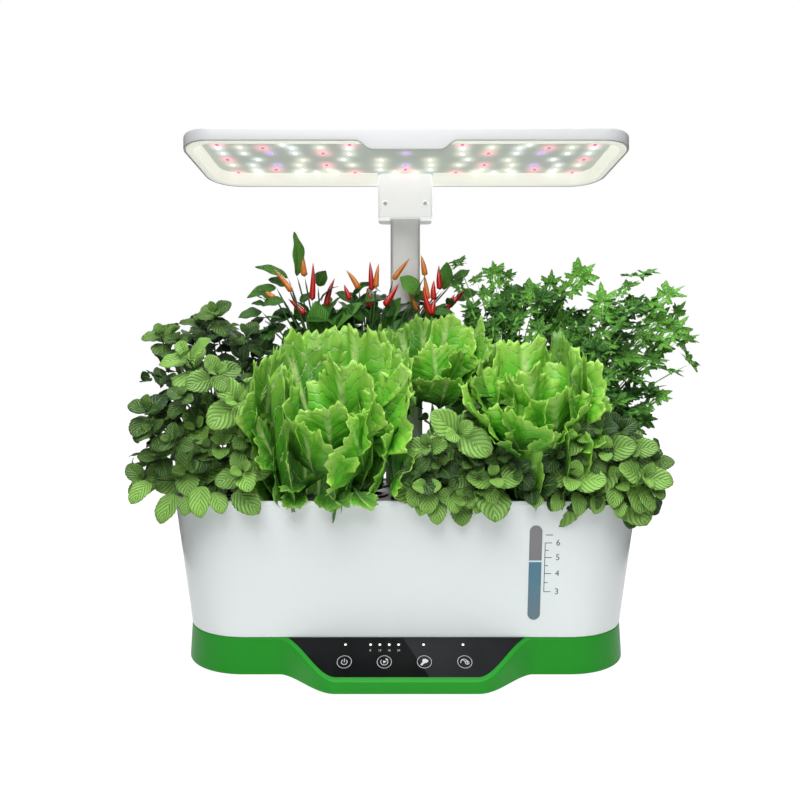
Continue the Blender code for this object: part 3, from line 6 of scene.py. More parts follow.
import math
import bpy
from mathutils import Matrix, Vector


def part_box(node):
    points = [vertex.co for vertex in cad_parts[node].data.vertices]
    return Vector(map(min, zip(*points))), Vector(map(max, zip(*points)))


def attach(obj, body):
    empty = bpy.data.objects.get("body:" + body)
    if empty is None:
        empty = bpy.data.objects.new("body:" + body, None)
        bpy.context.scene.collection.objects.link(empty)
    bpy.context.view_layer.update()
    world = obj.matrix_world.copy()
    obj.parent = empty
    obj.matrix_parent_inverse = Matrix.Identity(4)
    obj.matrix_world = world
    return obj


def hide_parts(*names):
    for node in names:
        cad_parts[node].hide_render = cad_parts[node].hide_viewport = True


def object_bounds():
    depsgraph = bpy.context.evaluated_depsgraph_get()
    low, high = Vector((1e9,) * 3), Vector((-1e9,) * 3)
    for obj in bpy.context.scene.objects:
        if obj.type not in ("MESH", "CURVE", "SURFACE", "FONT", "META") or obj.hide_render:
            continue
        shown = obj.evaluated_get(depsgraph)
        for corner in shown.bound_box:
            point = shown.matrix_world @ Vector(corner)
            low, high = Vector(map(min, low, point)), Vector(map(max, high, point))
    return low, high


bl_info = {
    "name": "Hydroponic Grow System Looks",
    "version": (1, 0, 0),
    "blender": (4, 5, 0),
    "location": "3D View > Sidebar > Grow System",
    "description": "Builds the finished surfaces, lamp lights and plants around the packed frame",
    "category": "Object",
}

import bmesh
import bpy
import numpy as np
from bpy.props import FloatProperty, FloatVectorProperty, IntProperty, PointerProperty

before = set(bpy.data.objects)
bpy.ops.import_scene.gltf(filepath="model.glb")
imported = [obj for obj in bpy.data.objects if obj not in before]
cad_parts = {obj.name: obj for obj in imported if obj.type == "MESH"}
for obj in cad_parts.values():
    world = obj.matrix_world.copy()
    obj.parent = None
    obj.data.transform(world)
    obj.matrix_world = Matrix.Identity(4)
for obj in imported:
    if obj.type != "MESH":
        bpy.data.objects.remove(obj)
cad_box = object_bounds()

MM = 0.001
PHOTO_MIDDLE = 400
SENSOR_WIDTH = 36.0
PHOTO_WIDTH = 800

# Sizes read from the frame
TANK_LOW, TANK_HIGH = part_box("water_tank")
HOUSING_LOW, HOUSING_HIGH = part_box("base_housing")
DECK_LOW, DECK_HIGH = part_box("grow_deck")
SHELL_LOW, SHELL_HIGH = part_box("lamp_shell")
FRAME_LOW, FRAME_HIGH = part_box("lamp_frame")
BOARD_LOW, BOARD_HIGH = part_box("led_board")
GAUGE_LOW, GAUGE_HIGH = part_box("gauge_window")
RIM_RADIUS = TANK_HIGH.y
STRAIGHT_HALF = TANK_HIGH.x - RIM_RADIUS
RIM_HEIGHT = TANK_HIGH.z
SEAM_HEIGHT = HOUSING_HIGH.z
DECK_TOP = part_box("net_pot_01")[1].z - 1.9 * MM


def colour(name, text, red, green, blue):
    """A colour property, given as the eight-bit sRGB values that a picker shows."""
    shown = np.array([red, green, blue]) / 255
    linear = np.where(shown <= 0.04045, shown / 12.92, ((shown + 0.055) / 1.055) ** 2.4)
    return FloatVectorProperty(name=name, description=text, subtype="COLOR", size=3, min=0, max=1, default=tuple(linear))


def length(name, text, default):
    """A length property."""
    return FloatProperty(name=name, description=text, unit="LENGTH", default=default)


class StudioSettings(bpy.types.PropertyGroup):
    """Camera and light."""

    camera_place: FloatVectorProperty(
        name="Camera place", description="Where the camera stands", subtype="TRANSLATION", size=3, default=(-0.006, -0.6495, 0.2574)
    )
    lens: FloatProperty(name="Lens", description="Focal length in millimetres", default=27.9, min=5)
    surround: FloatProperty(name="Surround", description="Light from all round", default=0.30, min=0)
    key_power: FloatProperty(name="Key", description="Power of the front softbox", default=15.0, min=0, unit="POWER")
    top_power: FloatProperty(name="Top", description="Power of the overhead softbox", default=18.0, min=0, unit="POWER")
    rear_power: FloatProperty(name="Rear", description="Power of the softbox behind", default=9.0, min=0, unit="POWER")
    floor_glow: FloatProperty(name="Floor glow", description="How white the floor looks to the camera", default=0.985, min=0)


class CasingSettings(bpy.types.PropertyGroup):
    """Tank, housing, panel and deck."""

    white: colour("White", "Tank plastic", 238, 244, 245)
    green: colour("Green", "Housing plastic", 30, 146, 34)
    panel: colour("Panel", "Black touch panel", 17, 18, 19)
    dark: colour("Dark", "Deck and pots", 40, 44, 44)
    print_green: colour("Print", "Scale printed beside the gauge", 20, 66, 40)
    band_height: length("Band height", "Height of the band round the tank's rim", 4.6 * MM)
    band_proud: length("Band proud", "How far the band stands out", 0.7 * MM)
    wall: length("Wall", "Tank wall", 2.6 * MM)
    seam_radius: length("Seam radius", "Radius of the ends where tank and housing meet", 66.7 * MM)
    soft_edge: length("Soft edge", "Rounding of moulded edges", 0.8 * MM)
    water_line: length("Water line", "Height of the water in the gauge", 107.7 * MM)


class PanelSettings(bpy.types.PropertyGroup):
    """The sloping front with its touch icons."""

    reach: length("Reach", "How far forward the nose stands", 107.5 * MM)
    front_half: length("Front half", "Half of the nose's straight front", 62.8 * MM)
    shoulder_half: length("Shoulder half", "Half of the nose at its shoulders", 124.0 * MM)
    shoulder_reach: length("Shoulder reach", "Where the shoulders meet the base", 67.0 * MM)
    lip_height: length("Lip height", "Height of the nose's front edge", 10.9 * MM)
    border: length("Border", "Green border round the panel", 3.6 * MM)
    flare: length("Flare", "How much the housing widens towards the table", 1.9 * MM)
    icon_radius: length("Icon radius", "Ring round each touch icon", 6.45 * MM)
    icon_depth: length("Icon depth", "How far forward the icons lie", 89.8 * MM)
    pip_depth: length("Pip depth", "How far forward the indicator lights lie", 73.6 * MM)
    ink: length("Ink", "Height of the print above the panel", 0.06 * MM)


class LampSettings(bpy.types.PropertyGroup):
    """Lamp, its lights, bracket and mast."""

    white: colour("White", "Bracket and mast collar", 242, 242, 243)
    # Painted shade: the cover is the same white plastic as the bracket, given a darker colour to offset the strong key
    # light on it.
    cover: colour("Cover", "Lamp cover", 202, 203, 204)
    cream: colour("Cream", "Reflector frame", 250, 250, 240)
    board: colour("Board", "Light board", 206, 216, 206)
    metal: colour("Metal", "Satin mast", 238, 238, 239)
    corner: length("Corner", "Corner of the lamp in plan", 32.0 * MM)
    face: length("Face", "Flat width of the reflector frame", 9.2 * MM)
    slope: length("Slope", "Sloping width of the reflector frame", 5.0 * MM)
    chip: length("Chip", "Side of one light", 3.2 * MM)
    shine: FloatProperty(name="Shine", description="Brightness of the lights", default=1.3, min=0)
    # The two strengths below set painted light: emission that stands in for the chips' light falling back on the board,
    # and on the reflector and the bracket.
    glow: FloatProperty(name="Glow", description="Light that falls back on the board", default=1.0, min=0)
    painted_bounce: FloatProperty(name="Bounce", description="Light that falls back on the reflector", default=0.45, min=0)


class PlantSettings(bpy.types.PropertyGroup):
    """Leaves and fruit."""

    mint: colour("Mint", "Mint in the light", 146, 198, 90)
    mint_dark: colour("Dark mint", "Mint in the shade", 22, 56, 17)
    lettuce: colour("Lettuce", "Lettuce blade in the light", 106, 194, 46)
    lettuce_dark: colour("Dark lettuce", "Lettuce blade in the shade", 16, 78, 14)
    lettuce_vein: colour("Lettuce vein", "Veins of a lettuce leaf", 196, 226, 140)
    lettuce_edge: colour("Lettuce edge", "Pale frill of a lettuce leaf", 172, 218, 92)
    pepper: colour("Pepper", "Pepper leaf", 112, 182, 70)
    pepper_dark: colour("Dark pepper", "Pepper leaf in the shade", 38, 92, 32)
    parsley: colour("Parsley", "Parsley in the light", 116, 188, 66)
    parsley_dark: colour("Dark parsley", "Parsley in the shade", 28, 82, 22)
    chilli_red: colour("Red chilli", "Ripe fruit", 205, 28, 24)
    chilli_orange: colour("Orange chilli", "Half-ripe fruit", 236, 138, 48)
    stem: colour("Stem", "Stalks", 62, 96, 44)
    thickness: length("Leaf thickness", "Thickness of a leaf", 0.25 * MM)
    seed: IntProperty(name="Seed", description="Start of the random draws", default=11)


def settings(group):
    """One of the scene's groups of settings."""
    return getattr(bpy.context.scene, "grow_" + group)


def rgba(colour_value):
    """A colour with full alpha."""
    return (*colour_value, 1.0)


class Value:
    """A number socket of a shader. Its operators add Math nodes."""

    def __init__(self, finish, socket):
        self.finish = finish
        self.socket = socket

    def __add__(self, other):
        return self.finish.maths("ADD", self, other)

    def __sub__(self, other):
        return self.finish.maths("SUBTRACT", self, other)

    def __rsub__(self, other):
        return self.finish.maths("SUBTRACT", other, self)

    def __mul__(self, other):
        return self.finish.maths("MULTIPLY", self, other)

    def __truediv__(self, other):
        return self.finish.maths("DIVIDE", self, other)

    def __pow__(self, other):
        return self.finish.maths("POWER", self, other)

    def __gt__(self, other):
        return self.finish.maths("GREATER_THAN", self, other)

    def __lt__(self, other):
        return self.finish.maths("LESS_THAN", self, other)

    __radd__ = __add__
    __rmul__ = __mul__


class Finish:
    """A procedural material, or the world: a node tree and the one method that adds nodes to it."""

    def __init__(self, name, owner=None):
        self.owner = owner or bpy.data.materials.new(name)
        self.owner.use_nodes = True
        self.tree = self.owner.node_tree
        self.tree.nodes.clear()

    def node(self, kind, choices=None, values=None):
        """Adds a node of a kind: its choices are set first, then the values or links of its sockets."""
        made = self.tree.nodes.new("ShaderNode" + kind)
        for name, choice in (choices or {}).items():
            if name == "stops":
                for stop in range(len(choice) - 2):
                    made.color_ramp.elements.new(0.5)
                for element, (place, shade) in zip(made.color_ramp.elements, choice):
                    element.position = place
                    element.color = shade
            else:
                setattr(made, name, choice)
        for name, value in (values or {}).items():
            value = value.socket if isinstance(value, Value) else value
            if isinstance(value, bpy.types.NodeSocket):
                self.tree.links.new(value, made.inputs[name])
            else:
                made.inputs[name].default_value = value
        return made

    def maths(self, operation, *values):
        """A Math node over one to three values."""
        made = self.node("Math", {"operation": operation}, dict(enumerate(values)))
        return Value(self, made.outputs[0])

    def mix(self, factor, first, second, blend="MIX"):
        """A colour between two others."""
        made = self.node("Mix", {"data_type": "RGBA", "blend_type": blend}, {0: factor, 6: first, 7: second})
        return made.outputs[2]

    def place(self):
        """The three Object coordinates as values, and the vector itself."""
        vector = self.node("TexCoord").outputs["Object"]
        parts = self.node("SeparateXYZ", None, {0: vector}).outputs
        return vector, [Value(self, part) for part in parts]

    def blade(self):
        """A leaf's own coordinates: distance from the midrib, share of its length, and its painted light and shade,
        which on a chilli is its ripeness.
        """
        parts = self.node("SeparateXYZ", None, {0: self.node("UVMap", {"uv_map": "blade"}).outputs[0]}).outputs
        across = self.maths("ABSOLUTE", Value(self, parts[0]) * 2 - 1)
        tone = Value(self, self.node("Attribute", {"attribute_name": "tone"}).outputs["Fac"])
        return across, Value(self, parts[1]), tone

    def noise(self, vector, scale, detail=3.0, roughness=0.5):
        """Soft noise between 0 and 1."""
        made = self.node("TexNoise", None, {"Vector": vector, "Scale": scale, "Detail": detail, "Roughness": roughness})
        return Value(self, made.outputs[0])

    def step(self, value, low, high):
        """A smooth rise from 0 at low to 1 at high."""
        choices = {"interpolation_type": "SMOOTHSTEP"}
        made = self.node("MapRange", choices, {"Value": value, "From Min": low, "From Max": high})
        return Value(self, made.outputs[0])

    def bump(self, height, strength, distance):
        """A Normal from a height."""
        return self.node("Bump", None, {"Height": height, "Strength": strength, "Distance": distance}).outputs[0]

    def surface(self, **values):
        """Ends the material in a Principled shader. Names are its sockets with underscores for spaces."""
        named = {name.replace("_", " "): value for name, value in values.items()}
        if "IOR Level" in named:
            named["Specular IOR Level"] = named.pop("IOR Level")
        shader = self.node("BsdfPrincipled", None, named)
        self.node("OutputMaterial", None, {"Surface": shader.outputs[0]})
        return self.owner


def moulded(name, base, roughness=0.32, grain=0.05, coat=0.0, level=0.5, glow=0.0):
    """Moulded plastic: an even colour with a breath of variation, and a fine orange-peel skin. glow is painted light:
    an emission of the plastic's own colour that stands in for the light of the lamp's own chips falling on it."""
    finish = Finish(name)
    vector, _ = finish.place()
    cloud = finish.noise(vector, 14.0)
    skin = finish.noise(vector, 900.0, 2.0)
    shade = finish.mix(cloud * 0.10, rgba(base), rgba([part * 0.90 for part in base]))
    return finish.surface(
        Base_Color=shade,
        Roughness=cloud * 0.08 + (roughness - 0.04),
        Coat_Weight=coat,
        IOR_Level=level,
        # Painted light: above zero, glow makes the plastic give out its own colour, standing in for the chips' light on
        # it.
        Emission_Color=shade,
        Emission_Strength=glow,
        Normal=finish.bump(skin, grain, 0.0002),
    )


def panel_gloss(name, base):
    """Black touch panel: glossy, with a painted reflection that makes it lighter right of a slanting line."""
    finish = Finish(name)
    vector, (x, y, z) = finish.place()
    # Painted reflection: the panel is lighter right of this slanting line.
    lean = x - (y + 0.0667) * -0.645 + 0.0036
    painted_reflection = finish.step(lean, -0.0006, 0.0006) * finish.step(x, 0.16, 0.0)
    shade = finish.mix(painted_reflection, rgba(base), rgba([part * 4.2 for part in base]))
    smear = finish.noise(vector, 60.0)
    return finish.surface(Base_Color=shade, Roughness=smear * 0.05 + 0.10, IOR_Level=0.06)


def satin_metal(name, base, roughness=0.30, metallic=0.85, streak=60.0):
    """Drawn and anodised metal with faint lengthwise streaks."""
    finish = Finish(name)
    vector, _ = finish.place()
    drawn = finish.node("Mapping", None, {"Vector": vector, "Scale": (streak * 30, streak * 30, streak / 6)}).outputs[0]
    lines = finish.noise(drawn, 1.0, 2.0)
    shade = finish.mix(lines * 0.25, rgba(base), rgba([part * 0.82 for part in base]))
    return finish.surface(
        Base_Color=shade, Roughness=lines * 0.14 + (roughness - 0.07), Metallic=metallic, Normal=finish.bump(lines, 0.06, 0.0001)
    )


def gauge_finish(name, water_line):
    """Gauge strip: smoky grey above the water, blue below it, with a painted highlight along the water's surface."""
    finish = Finish(name)
    vector, (x, y, z) = finish.place()
    wet = z < water_line
    depth = finish.step(z, 0.050, water_line)
    blue = finish.mix(depth, (0.100, 0.178, 0.218, 1), (0.040, 0.178, 0.265, 1))
    grey = finish.mix(finish.step(z, water_line, 0.145), (0.180, 0.180, 0.186, 1), (0.205, 0.205, 0.212, 1))
    # Painted highlight: a pale line where the water's surface catches the light.
    line = finish.step(finish.maths("ABSOLUTE", z - water_line - 0.0008), 0.0010, 0.0005)
    shade = finish.mix(line, finish.mix(wet, grey, blue), (0.62, 0.80, 0.86, 1))
    return finish.surface(Base_Color=shade, Roughness=0.16, Coat_Weight=0.3)


def lamp_board_finish(name, base, glow):
    """Light board: pale solder mask, with painted light held in an attribute, which stands in for the light that the
    chips throw back on it.
    """
    finish = Finish(name)
    vector, _ = finish.place()
    cloud = finish.noise(vector, 30.0)
    shade = finish.mix(cloud * 0.2, rgba(base), rgba([part * 0.9 for part in base]))
    spill = finish.node("Attribute", {"attribute_name": "spill"}).outputs["Color"]
    return finish.surface(Base_Color=shade, Roughness=0.45, Emission_Color=spill, Emission_Strength=glow)


def shining(name, base, strength, tint=0.4):
    """A lit chip or indicator: its colour glows evenly."""
    finish = Finish(name)
    vector, _ = finish.place()
    cloud = finish.noise(vector, 400.0)
    shade = finish.mix(cloud * 0.03, rgba(base), (1, 1, 1, 1))
    return finish.surface(Base_Color=shade, Roughness=0.3, Emission_Color=shade, Emission_Strength=strength)


def leaf_finish(name, light, dark, vein, veins=7.0, slant=0.45, roughness=0.5, painted_crease_shade=0.4, edge=None, pale=0.5, fan=False):
    """A leaf: veins slant out from the midrib, the blade puffs up between them, and its colour runs dark to light by
    painted light and shade.
    """
    finish = Finish(name)
    across, along, tone = finish.blade()
    vector, _ = finish.place()
    cloud = finish.noise(vector, 55.0)
    wander = finish.noise(vector, 160.0) * (1.1 if fan else 0.35)
    run = (along - across * slant) * veins + wander
    cell = finish.maths("ABSOLUTE", finish.maths("FRACT", run) - 0.5) * 2
    puffed = 1 - (1 - cell) ** 3
    vein_line = finish.step(cell, 0.15 if fan else 0.24, 0.02) * finish.step(across, 1.05, 0.6)
    midrib = finish.step(across, 0.10, 0.02) * finish.step(along, 1.05, 0.7)
    lines = finish.maths("MAXIMUM", vein_line * 0.75, midrib)
    if fan:
        # Painted shade: a lettuce leaf darkens towards its base, down in the hollow of the head, and its painted light
        # is stretched.
        tone = (tone * 1.35 - 0.10) * (finish.step(along, 0.05, 0.85) * 0.80 + 0.20)
    # The level adds random tone, and painted shade in the creases beside the veins, to each leaf's painted light.
    level = finish.maths("MINIMUM", finish.maths("MAXIMUM", tone + (cloud - 0.5) * 0.45 + (puffed - 0.8) * painted_crease_shade, 0.0), 1.0)
    shade = finish.mix(level, rgba(dark), rgba(light))
    if edge is not None:
        # The pale frill is the leaf's own colour, shown more strongly on leaves with more painted light.
        rim = finish.step(along, 0.70, 1.0) * 0.8 + finish.step(across, 0.88, 1.0) * finish.step(along, 0.3, 0.8) * 0.6
        shade = finish.mix(finish.maths("MINIMUM", rim * level, 1.0), shade, rgba(edge))
    shade = finish.mix(lines * pale, shade, rgba(vein))
    fine = finish.noise(vector, 700.0, 4.0)
    height = puffed + fine * 0.30 - midrib * 0.5 + wander * (1.2 if fan else 0.0)
    return finish.surface(
        Base_Color=shade, Roughness=cloud * 0.15 + (roughness - 0.07), IOR_Level=0.45, Normal=finish.bump(height, 0.45 if fan else 0.8, 0.0011)
    )


def fruit_finish(name, red, orange):
    """Chilli skin: its colour runs from orange to red as it ripens, glossy, with a paler flush along the fruit."""
    finish = Finish(name)
    across, along, tone = finish.blade()
    vector, _ = finish.place()
    cloud = finish.noise(vector, 90.0)
    ripe = finish.step(tone + (cloud - 0.5) * 0.4, 0.35, 0.75)
    tip = finish.step(along, 0.55, 1.0) * (1 - ripe) * 0.55
    shade = finish.mix(tip, finish.mix(ripe, rgba(orange), rgba(red)), (0.83, 0.55, 0.16, 1))
    return finish.surface(Base_Color=shade, Roughness=0.24, Coat_Weight=0.25, Normal=finish.bump(cloud, 0.2, 0.0006))


def grid_faces(count, rows, columns, closed):
    """Quads of count grids, each rows by columns. The columns may close into a tube."""
    cells = columns if closed else columns - 1
    row, column = np.meshgrid(np.arange(rows - 1), np.arange(cells), indexing="ij")
    here = row * columns + column
    right = row * columns + (column + 1) % columns
    quads = np.stack([here, right, right + columns, here + columns], -1).reshape(-1, 4)
    return (quads[None] + (np.arange(count) * rows * columns)[:, None, None]).reshape(-1, 4)


class Surfaces:
    """Gathers computed grids and makes them one mesh, with blade coordinates and, at each point, the painted light and
    shade of a leaf or the ripeness of a fruit.
    """

    def __init__(self):
        self.points, self.quads, self.uvs, self.tones, self.slots, self.size = [], [], [], [], [], 0

    def add(self, points, tone=0.5, slot=0, closed=False):
        """Takes an array of grids (count, rows, columns, 3). The painted light and shade, or ripeness, is one value a
        grid, or an array of them.
        """
        points = np.asarray(points, float)
        if points.ndim == 3:
            points = points[None]
        count, rows, columns = points.shape[:3]
        quads = grid_faces(count, rows, columns, closed) + self.size
        u = np.broadcast_to(np.linspace(0, 1, columns)[None, None, :], points.shape[:3])
        v = np.broadcast_to(np.linspace(0, 1, rows)[None, :, None], points.shape[:3])
        tone = np.asarray(tone, float)
        if tone.ndim == 1:
            tone = tone[:, None, None]
        self.points.append(points.reshape(-1, 3))
        self.quads.append(quads)
        self.uvs.append(np.stack([u, v], -1).reshape(-1, 2))
        self.tones.append(np.broadcast_to(tone, points.shape[:3]).reshape(-1))
        self.slots.append(np.full(len(quads), slot))
        self.size += count * rows * columns

    def piece(self, name, finishes, body, sharp=None):
        """Makes the object. It rides on a body of the frame."""
        points = np.concatenate(self.points).astype(np.float32)
        quads = np.concatenate(self.quads).astype(np.int32)
        mesh = bpy.data.meshes.new(name)
        mesh.vertices.add(len(points))
        mesh.vertices.foreach_set("co", points.ravel())
        mesh.loops.add(quads.size)
        mesh.loops.foreach_set("vertex_index", quads.ravel())
        mesh.polygons.add(len(quads))
        mesh.polygons.foreach_set("loop_start", np.arange(len(quads), dtype=np.int32) * 4)
        mesh.polygons.foreach_set("material_index", np.concatenate(self.slots).astype(np.int32))
        mesh.update(calc_edges=True)
        layer = mesh.uv_layers.new(name="blade")
        layer.data.foreach_set("uv", np.concatenate(self.uvs).astype(np.float32)[quads.ravel()].ravel())
        tones = mesh.attributes.new("tone", "FLOAT", "POINT")
        tones.data.foreach_set("value", np.concatenate(self.tones).astype(np.float32))
        return finished(name, mesh, finishes, body, sharp)


def finished(name, mesh, finishes, body, sharp=None):
    """Puts a mesh in the scene as a piece, shaded smooth up to an angle, riding on a body."""
    piece = bpy.data.objects.new(name, mesh)
    bpy.context.scene.collection.objects.link(piece)
    for finish in finishes:
        mesh.materials.append(finish)
    mesh.shade_smooth()
    if sharp:
        mesh.set_sharp_from_angle(angle=math.radians(sharp))
    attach(piece, body)
    return piece


def skin(name, rings, finish, body, sharp=35, caps=True):
    """Skins closed rings of equal point count into a closed shell whose faces point out."""
    count = len(rings[0])
    points = np.concatenate(rings)
    quads = grid_faces(1, len(rings), count, True)
    faces = quads.tolist()
    if caps:
        faces.append(list(reversed(range(count))))
        faces.append(list(range(len(points) - count, len(points))))
    mesh = bpy.data.meshes.new(name)
    mesh.from_pydata(points.tolist(), [], faces)
    shell = bmesh.new()
    shell.from_mesh(mesh)
    if shell.calc_volume(signed=True) < 0:
        bmesh.ops.reverse_faces(shell, faces=shell.faces[:])
    shell.to_mesh(mesh)
    shell.free()
    return finished(name, mesh, [finish], body, sharp)


def dressed(node, finish, body, edge=0.0, sharp=35):
    """Stands a welded, soft-edged copy of a node in its place, because the node itself is loose triangles."""
    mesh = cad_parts[node].data.copy()
    mesh.materials.clear()
    weld = bmesh.new()
    weld.from_mesh(mesh)
    bmesh.ops.remove_doubles(weld, verts=weld.verts[:], dist=1e-6)
    bmesh.ops.dissolve_limit(weld, angle_limit=math.radians(1.0), verts=weld.verts[:], edges=weld.edges[:])
    weld.to_mesh(mesh)
    weld.free()
    piece = finished(node + "_finish", mesh, [finish], body, sharp)
    if edge:
        bevel = piece.modifiers.new("soft_edge", "BEVEL")
        bevel.width = edge
        bevel.segments = 3
        bevel.limit_method = "ANGLE"
        bevel.angle_limit = math.radians(40)
        bevel.harden_normals = True
    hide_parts(node)
    return piece


def cut(piece, low, high):
    """Cuts a box out of a piece."""
    corners = [(x, y, z) for z in (low[2], high[2]) for x, y in ((low[0], low[1]), (high[0], low[1]), (high[0], high[1]), (low[0], high[1]))]
    mesh = bpy.data.meshes.new("cutter")
    mesh.from_pydata(corners, [], [(3, 2, 1, 0), (4, 5, 6, 7), (0, 1, 5, 4), (1, 2, 6, 5), (2, 3, 7, 6), (3, 0, 4, 7)])
    cutter = bpy.data.objects.new("cutter", mesh)
    bpy.context.scene.collection.objects.link(cutter)
    taken = piece.modifiers.new("notch", "BOOLEAN")
    taken.operation = "DIFFERENCE"
    taken.solver = "EXACT"
    taken.object = cutter
    shape = bpy.data.meshes.new_from_object(piece.evaluated_get(bpy.context.evaluated_depsgraph_get()))
    piece.modifiers.remove(taken)
    piece.data = shape
    bpy.data.objects.remove(cutter)


def photo_place(across, down, depth):
    """Where a pixel of the photograph lies in the frame, at a depth along Y."""
    studio = settings("studio")
    camera = studio.camera_place
    reach = (np.asarray(depth, float) - camera[1]) / (studio.lens / SENSOR_WIDTH * PHOTO_WIDTH)
    x = camera[0] + (np.asarray(across, float) - PHOTO_MIDDLE) * reach
    z = camera[2] - (np.asarray(down, float) - PHOTO_MIDDLE) * reach
    return np.stack(np.broadcast_arrays(x, np.asarray(depth, float), z), -1)


def unit(vectors):
    """Vectors of length one."""
    vectors = np.asarray(vectors, float)
    return vectors / np.maximum(np.linalg.norm(vectors, axis=-1, keepdims=True), 1e-9)


def at_height(outline, height):
    """Lifts a flat outline to a height, which may differ from point to point."""
    return np.column_stack([outline, np.broadcast_to(height, len(outline))])


def stadium(radius, steps=48, straights=24):
    """Two half circles joined by straight runs, counter-clockwise from the right end's front."""
    angles = np.linspace(-math.pi / 2, math.pi / 2, steps + 1)
    arc = radius * np.column_stack([np.cos(angles), np.sin(angles)])
    shift = np.array([STRAIGHT_HALF, 0])
    run = np.linspace(STRAIGHT_HALF, -STRAIGHT_HALF, straights + 1)[1:-1]
    back = np.column_stack([run, np.full(len(run), radius)])
    return np.concatenate([arc + shift, back, -arc - shift, -back])


def rounded_outline(half_x, low_y, high_y, corner, steps=16):
    """A rectangle in plan with round corners, counter-clockwise, symmetric about X."""
    middle, half_y = (low_y + high_y) / 2, (high_y - low_y) / 2
    corner = max(min(corner, half_x, half_y), 1e-5)
    points = []
    for quarter, (side_x, side_y) in enumerate(((1, 1), (-1, 1), (-1, -1), (1, -1))):
        angles = np.linspace(0, math.pi / 2, steps + 1) + quarter * math.pi / 2
        centre = np.array([side_x * (half_x - corner), middle + side_y * (half_y - corner)])
        points.append(centre + corner * np.column_stack([np.cos(angles), np.sin(angles)]))
        if quarter == 2:
            run = np.linspace(-1, 1, 81)[1:-1] * (half_x - corner)
            points.append(np.column_stack([run, np.full(len(run), low_y)]))
    return np.concatenate(points)


def tubes(paths, radii, sides=8):
    """Round tubes along many paths at once: each point gets a ring square to the path, closed at both ends."""
    paths = np.asarray(paths, float)
    run = unit(np.gradient(paths, axis=1))
    guide = np.where(np.abs(run[..., 2:3]) > 0.9, np.array([1.0, 0, 0]), np.array([0, 0, 1.0]))
    side = unit(np.cross(run, guide))
    other = np.cross(run, side)
    angles = np.linspace(0, 2 * math.pi, sides, endpoint=False)
    radii = np.broadcast_to(np.asarray(radii, float), paths.shape[:2]).copy()
    radii[:, 0] *= 0.02
    radii[:, -1] *= 0.02
    ring = side[:, :, None] * np.cos(angles)[:, None] + other[:, :, None] * np.sin(angles)[:, None]
    return paths[:, :, None] + ring * radii[:, :, None, None]


def curve(first, handle, last, share):
    """A quadratic Bezier curve from first to last, pulled towards handle, at each share of it."""
    share = np.asarray(share, float)[..., None]
    return (1 - share) ** 2 * first + 2 * share * (1 - share) * handle + share**2 * last


def bend_onto(base, handle, tip, face, along, across, lift):
    """Carries a flat leaf onto its midrib. along is the share of the midrib, across the distance to its
    side, and lift the height off the blade towards the face; the three are grids of equal shape."""
    first, middle, last, up = (np.asarray(p, float)[:, None, None] for p in (base, handle, tip, face))
    point = curve(first, middle, last, along)
    share = along[..., None]
    run = unit(2 * (1 - share) * (middle - first) + 2 * share * (last - middle))
    side = unit(np.cross(run, up))
    normal = np.cross(side, run)
    return point + side * across[..., None] + normal * lift[..., None]


def column(values, like=2):
    """One value a leaf, shaped to multiply its grid."""
    return np.asarray(values, float)[:, None, None]


def plain_leaf(count, width, rows, columns, shape, fold, draws, teeth=0, puff=0.0, wave=0.0):
    """Flat form of a simple leaf. Half the width at share v is sin(pi v^shape[0])^shape[1]; teeth scallop
    the edge, puff domes the blade between side veins, and wave ripples the margin."""
    v = np.linspace(0, 1, rows)[None, :, None]
    u = np.linspace(-1, 1, columns)[None, None, :]
    half = np.maximum(np.sin(math.pi * np.clip(v, 0, 1) ** shape[0]), 0) ** shape[1] + 0.02
    half = half * (1 + 0.055 * (np.abs(np.sin(math.pi * teeth * v)) - 0.5) * (teeth > 0))
    across = column(width) * half * u * np.cos(column(fold))
    lift = column(width) * half * np.abs(u) * np.sin(column(fold))
    ribs = np.abs(np.sin(math.pi * 6 * (v - 0.35 * np.abs(u))))
    lift = lift + puff * column(width) * ribs * half * (1 - u**6)
    phase = column(draws.uniform(0, 2 * math.pi, count))
    lift = lift + wave * column(width) * np.abs(u) ** 3 * np.sin(2 * math.pi * 2.2 * v + phase + (u > 0) * 1.7)
    along = np.broadcast_to(v, across.shape)
    return along, across, lift


def frilled_leaf(count, size, spread, rows, columns, draws, frill=1.0, cup=0.5):
    """Flat form of a lettuce leaf: a round fan whose rays run from the stalk. Ray u ends at a radius of
    (1 - 0.12 u^2) (1 + 0.04 sin 4 pi u) + 0.024 sin 7 pi u + 0.020 sin 19 pi u; the margin ripples off the
    blade by sines of the same angle that grow with v^4, and the whole blade is cupped."""
    v = np.linspace(0.02, 1, rows)[None, :, None] ** 0.8
    u = np.linspace(-1, 1, columns)[None, None, :]
    phase = draws.uniform(0, 2 * math.pi, (6, count, 1, 1))
    edge = (1 - 0.12 * u**2) * (1 + 0.040 * np.sin(4 * math.pi * u + phase[0]) * v**2)
    edge = edge + 0.024 * np.sin(7 * math.pi * u + phase[1]) * v**4 + 0.020 * np.sin(19 * math.pi * u + phase[2]) * v**8
    angle = u * column(spread) * (0.12 + 0.88 * np.clip(v / 0.5, 0, 1) ** 1.3)
    radius = v * edge
    along = radius * np.cos(angle) * 1.02
    across = column(size) * radius * np.sin(angle)
    broad = 0.055 * v**2 * np.sin(2.6 * math.pi * u + phase[3])
    ruffle = 0.026 * v**4 * np.sin(6 * math.pi * u + phase[4]) + 0.022 * v**8 * np.sin(12 * math.pi * u + phase[5])
    bowl = cup * 0.8 * (radius * np.sin(angle)) ** 2 - 0.16 * np.maximum(v - 0.72, 0) * 2
    pleats = 0.016 * np.abs(np.sin(4.5 * math.pi * (v - 0.55 * np.abs(u)))) * np.sin(math.pi * v)
    return along, across, column(size) * (frill * (broad + ruffle) + bowl + pleats)


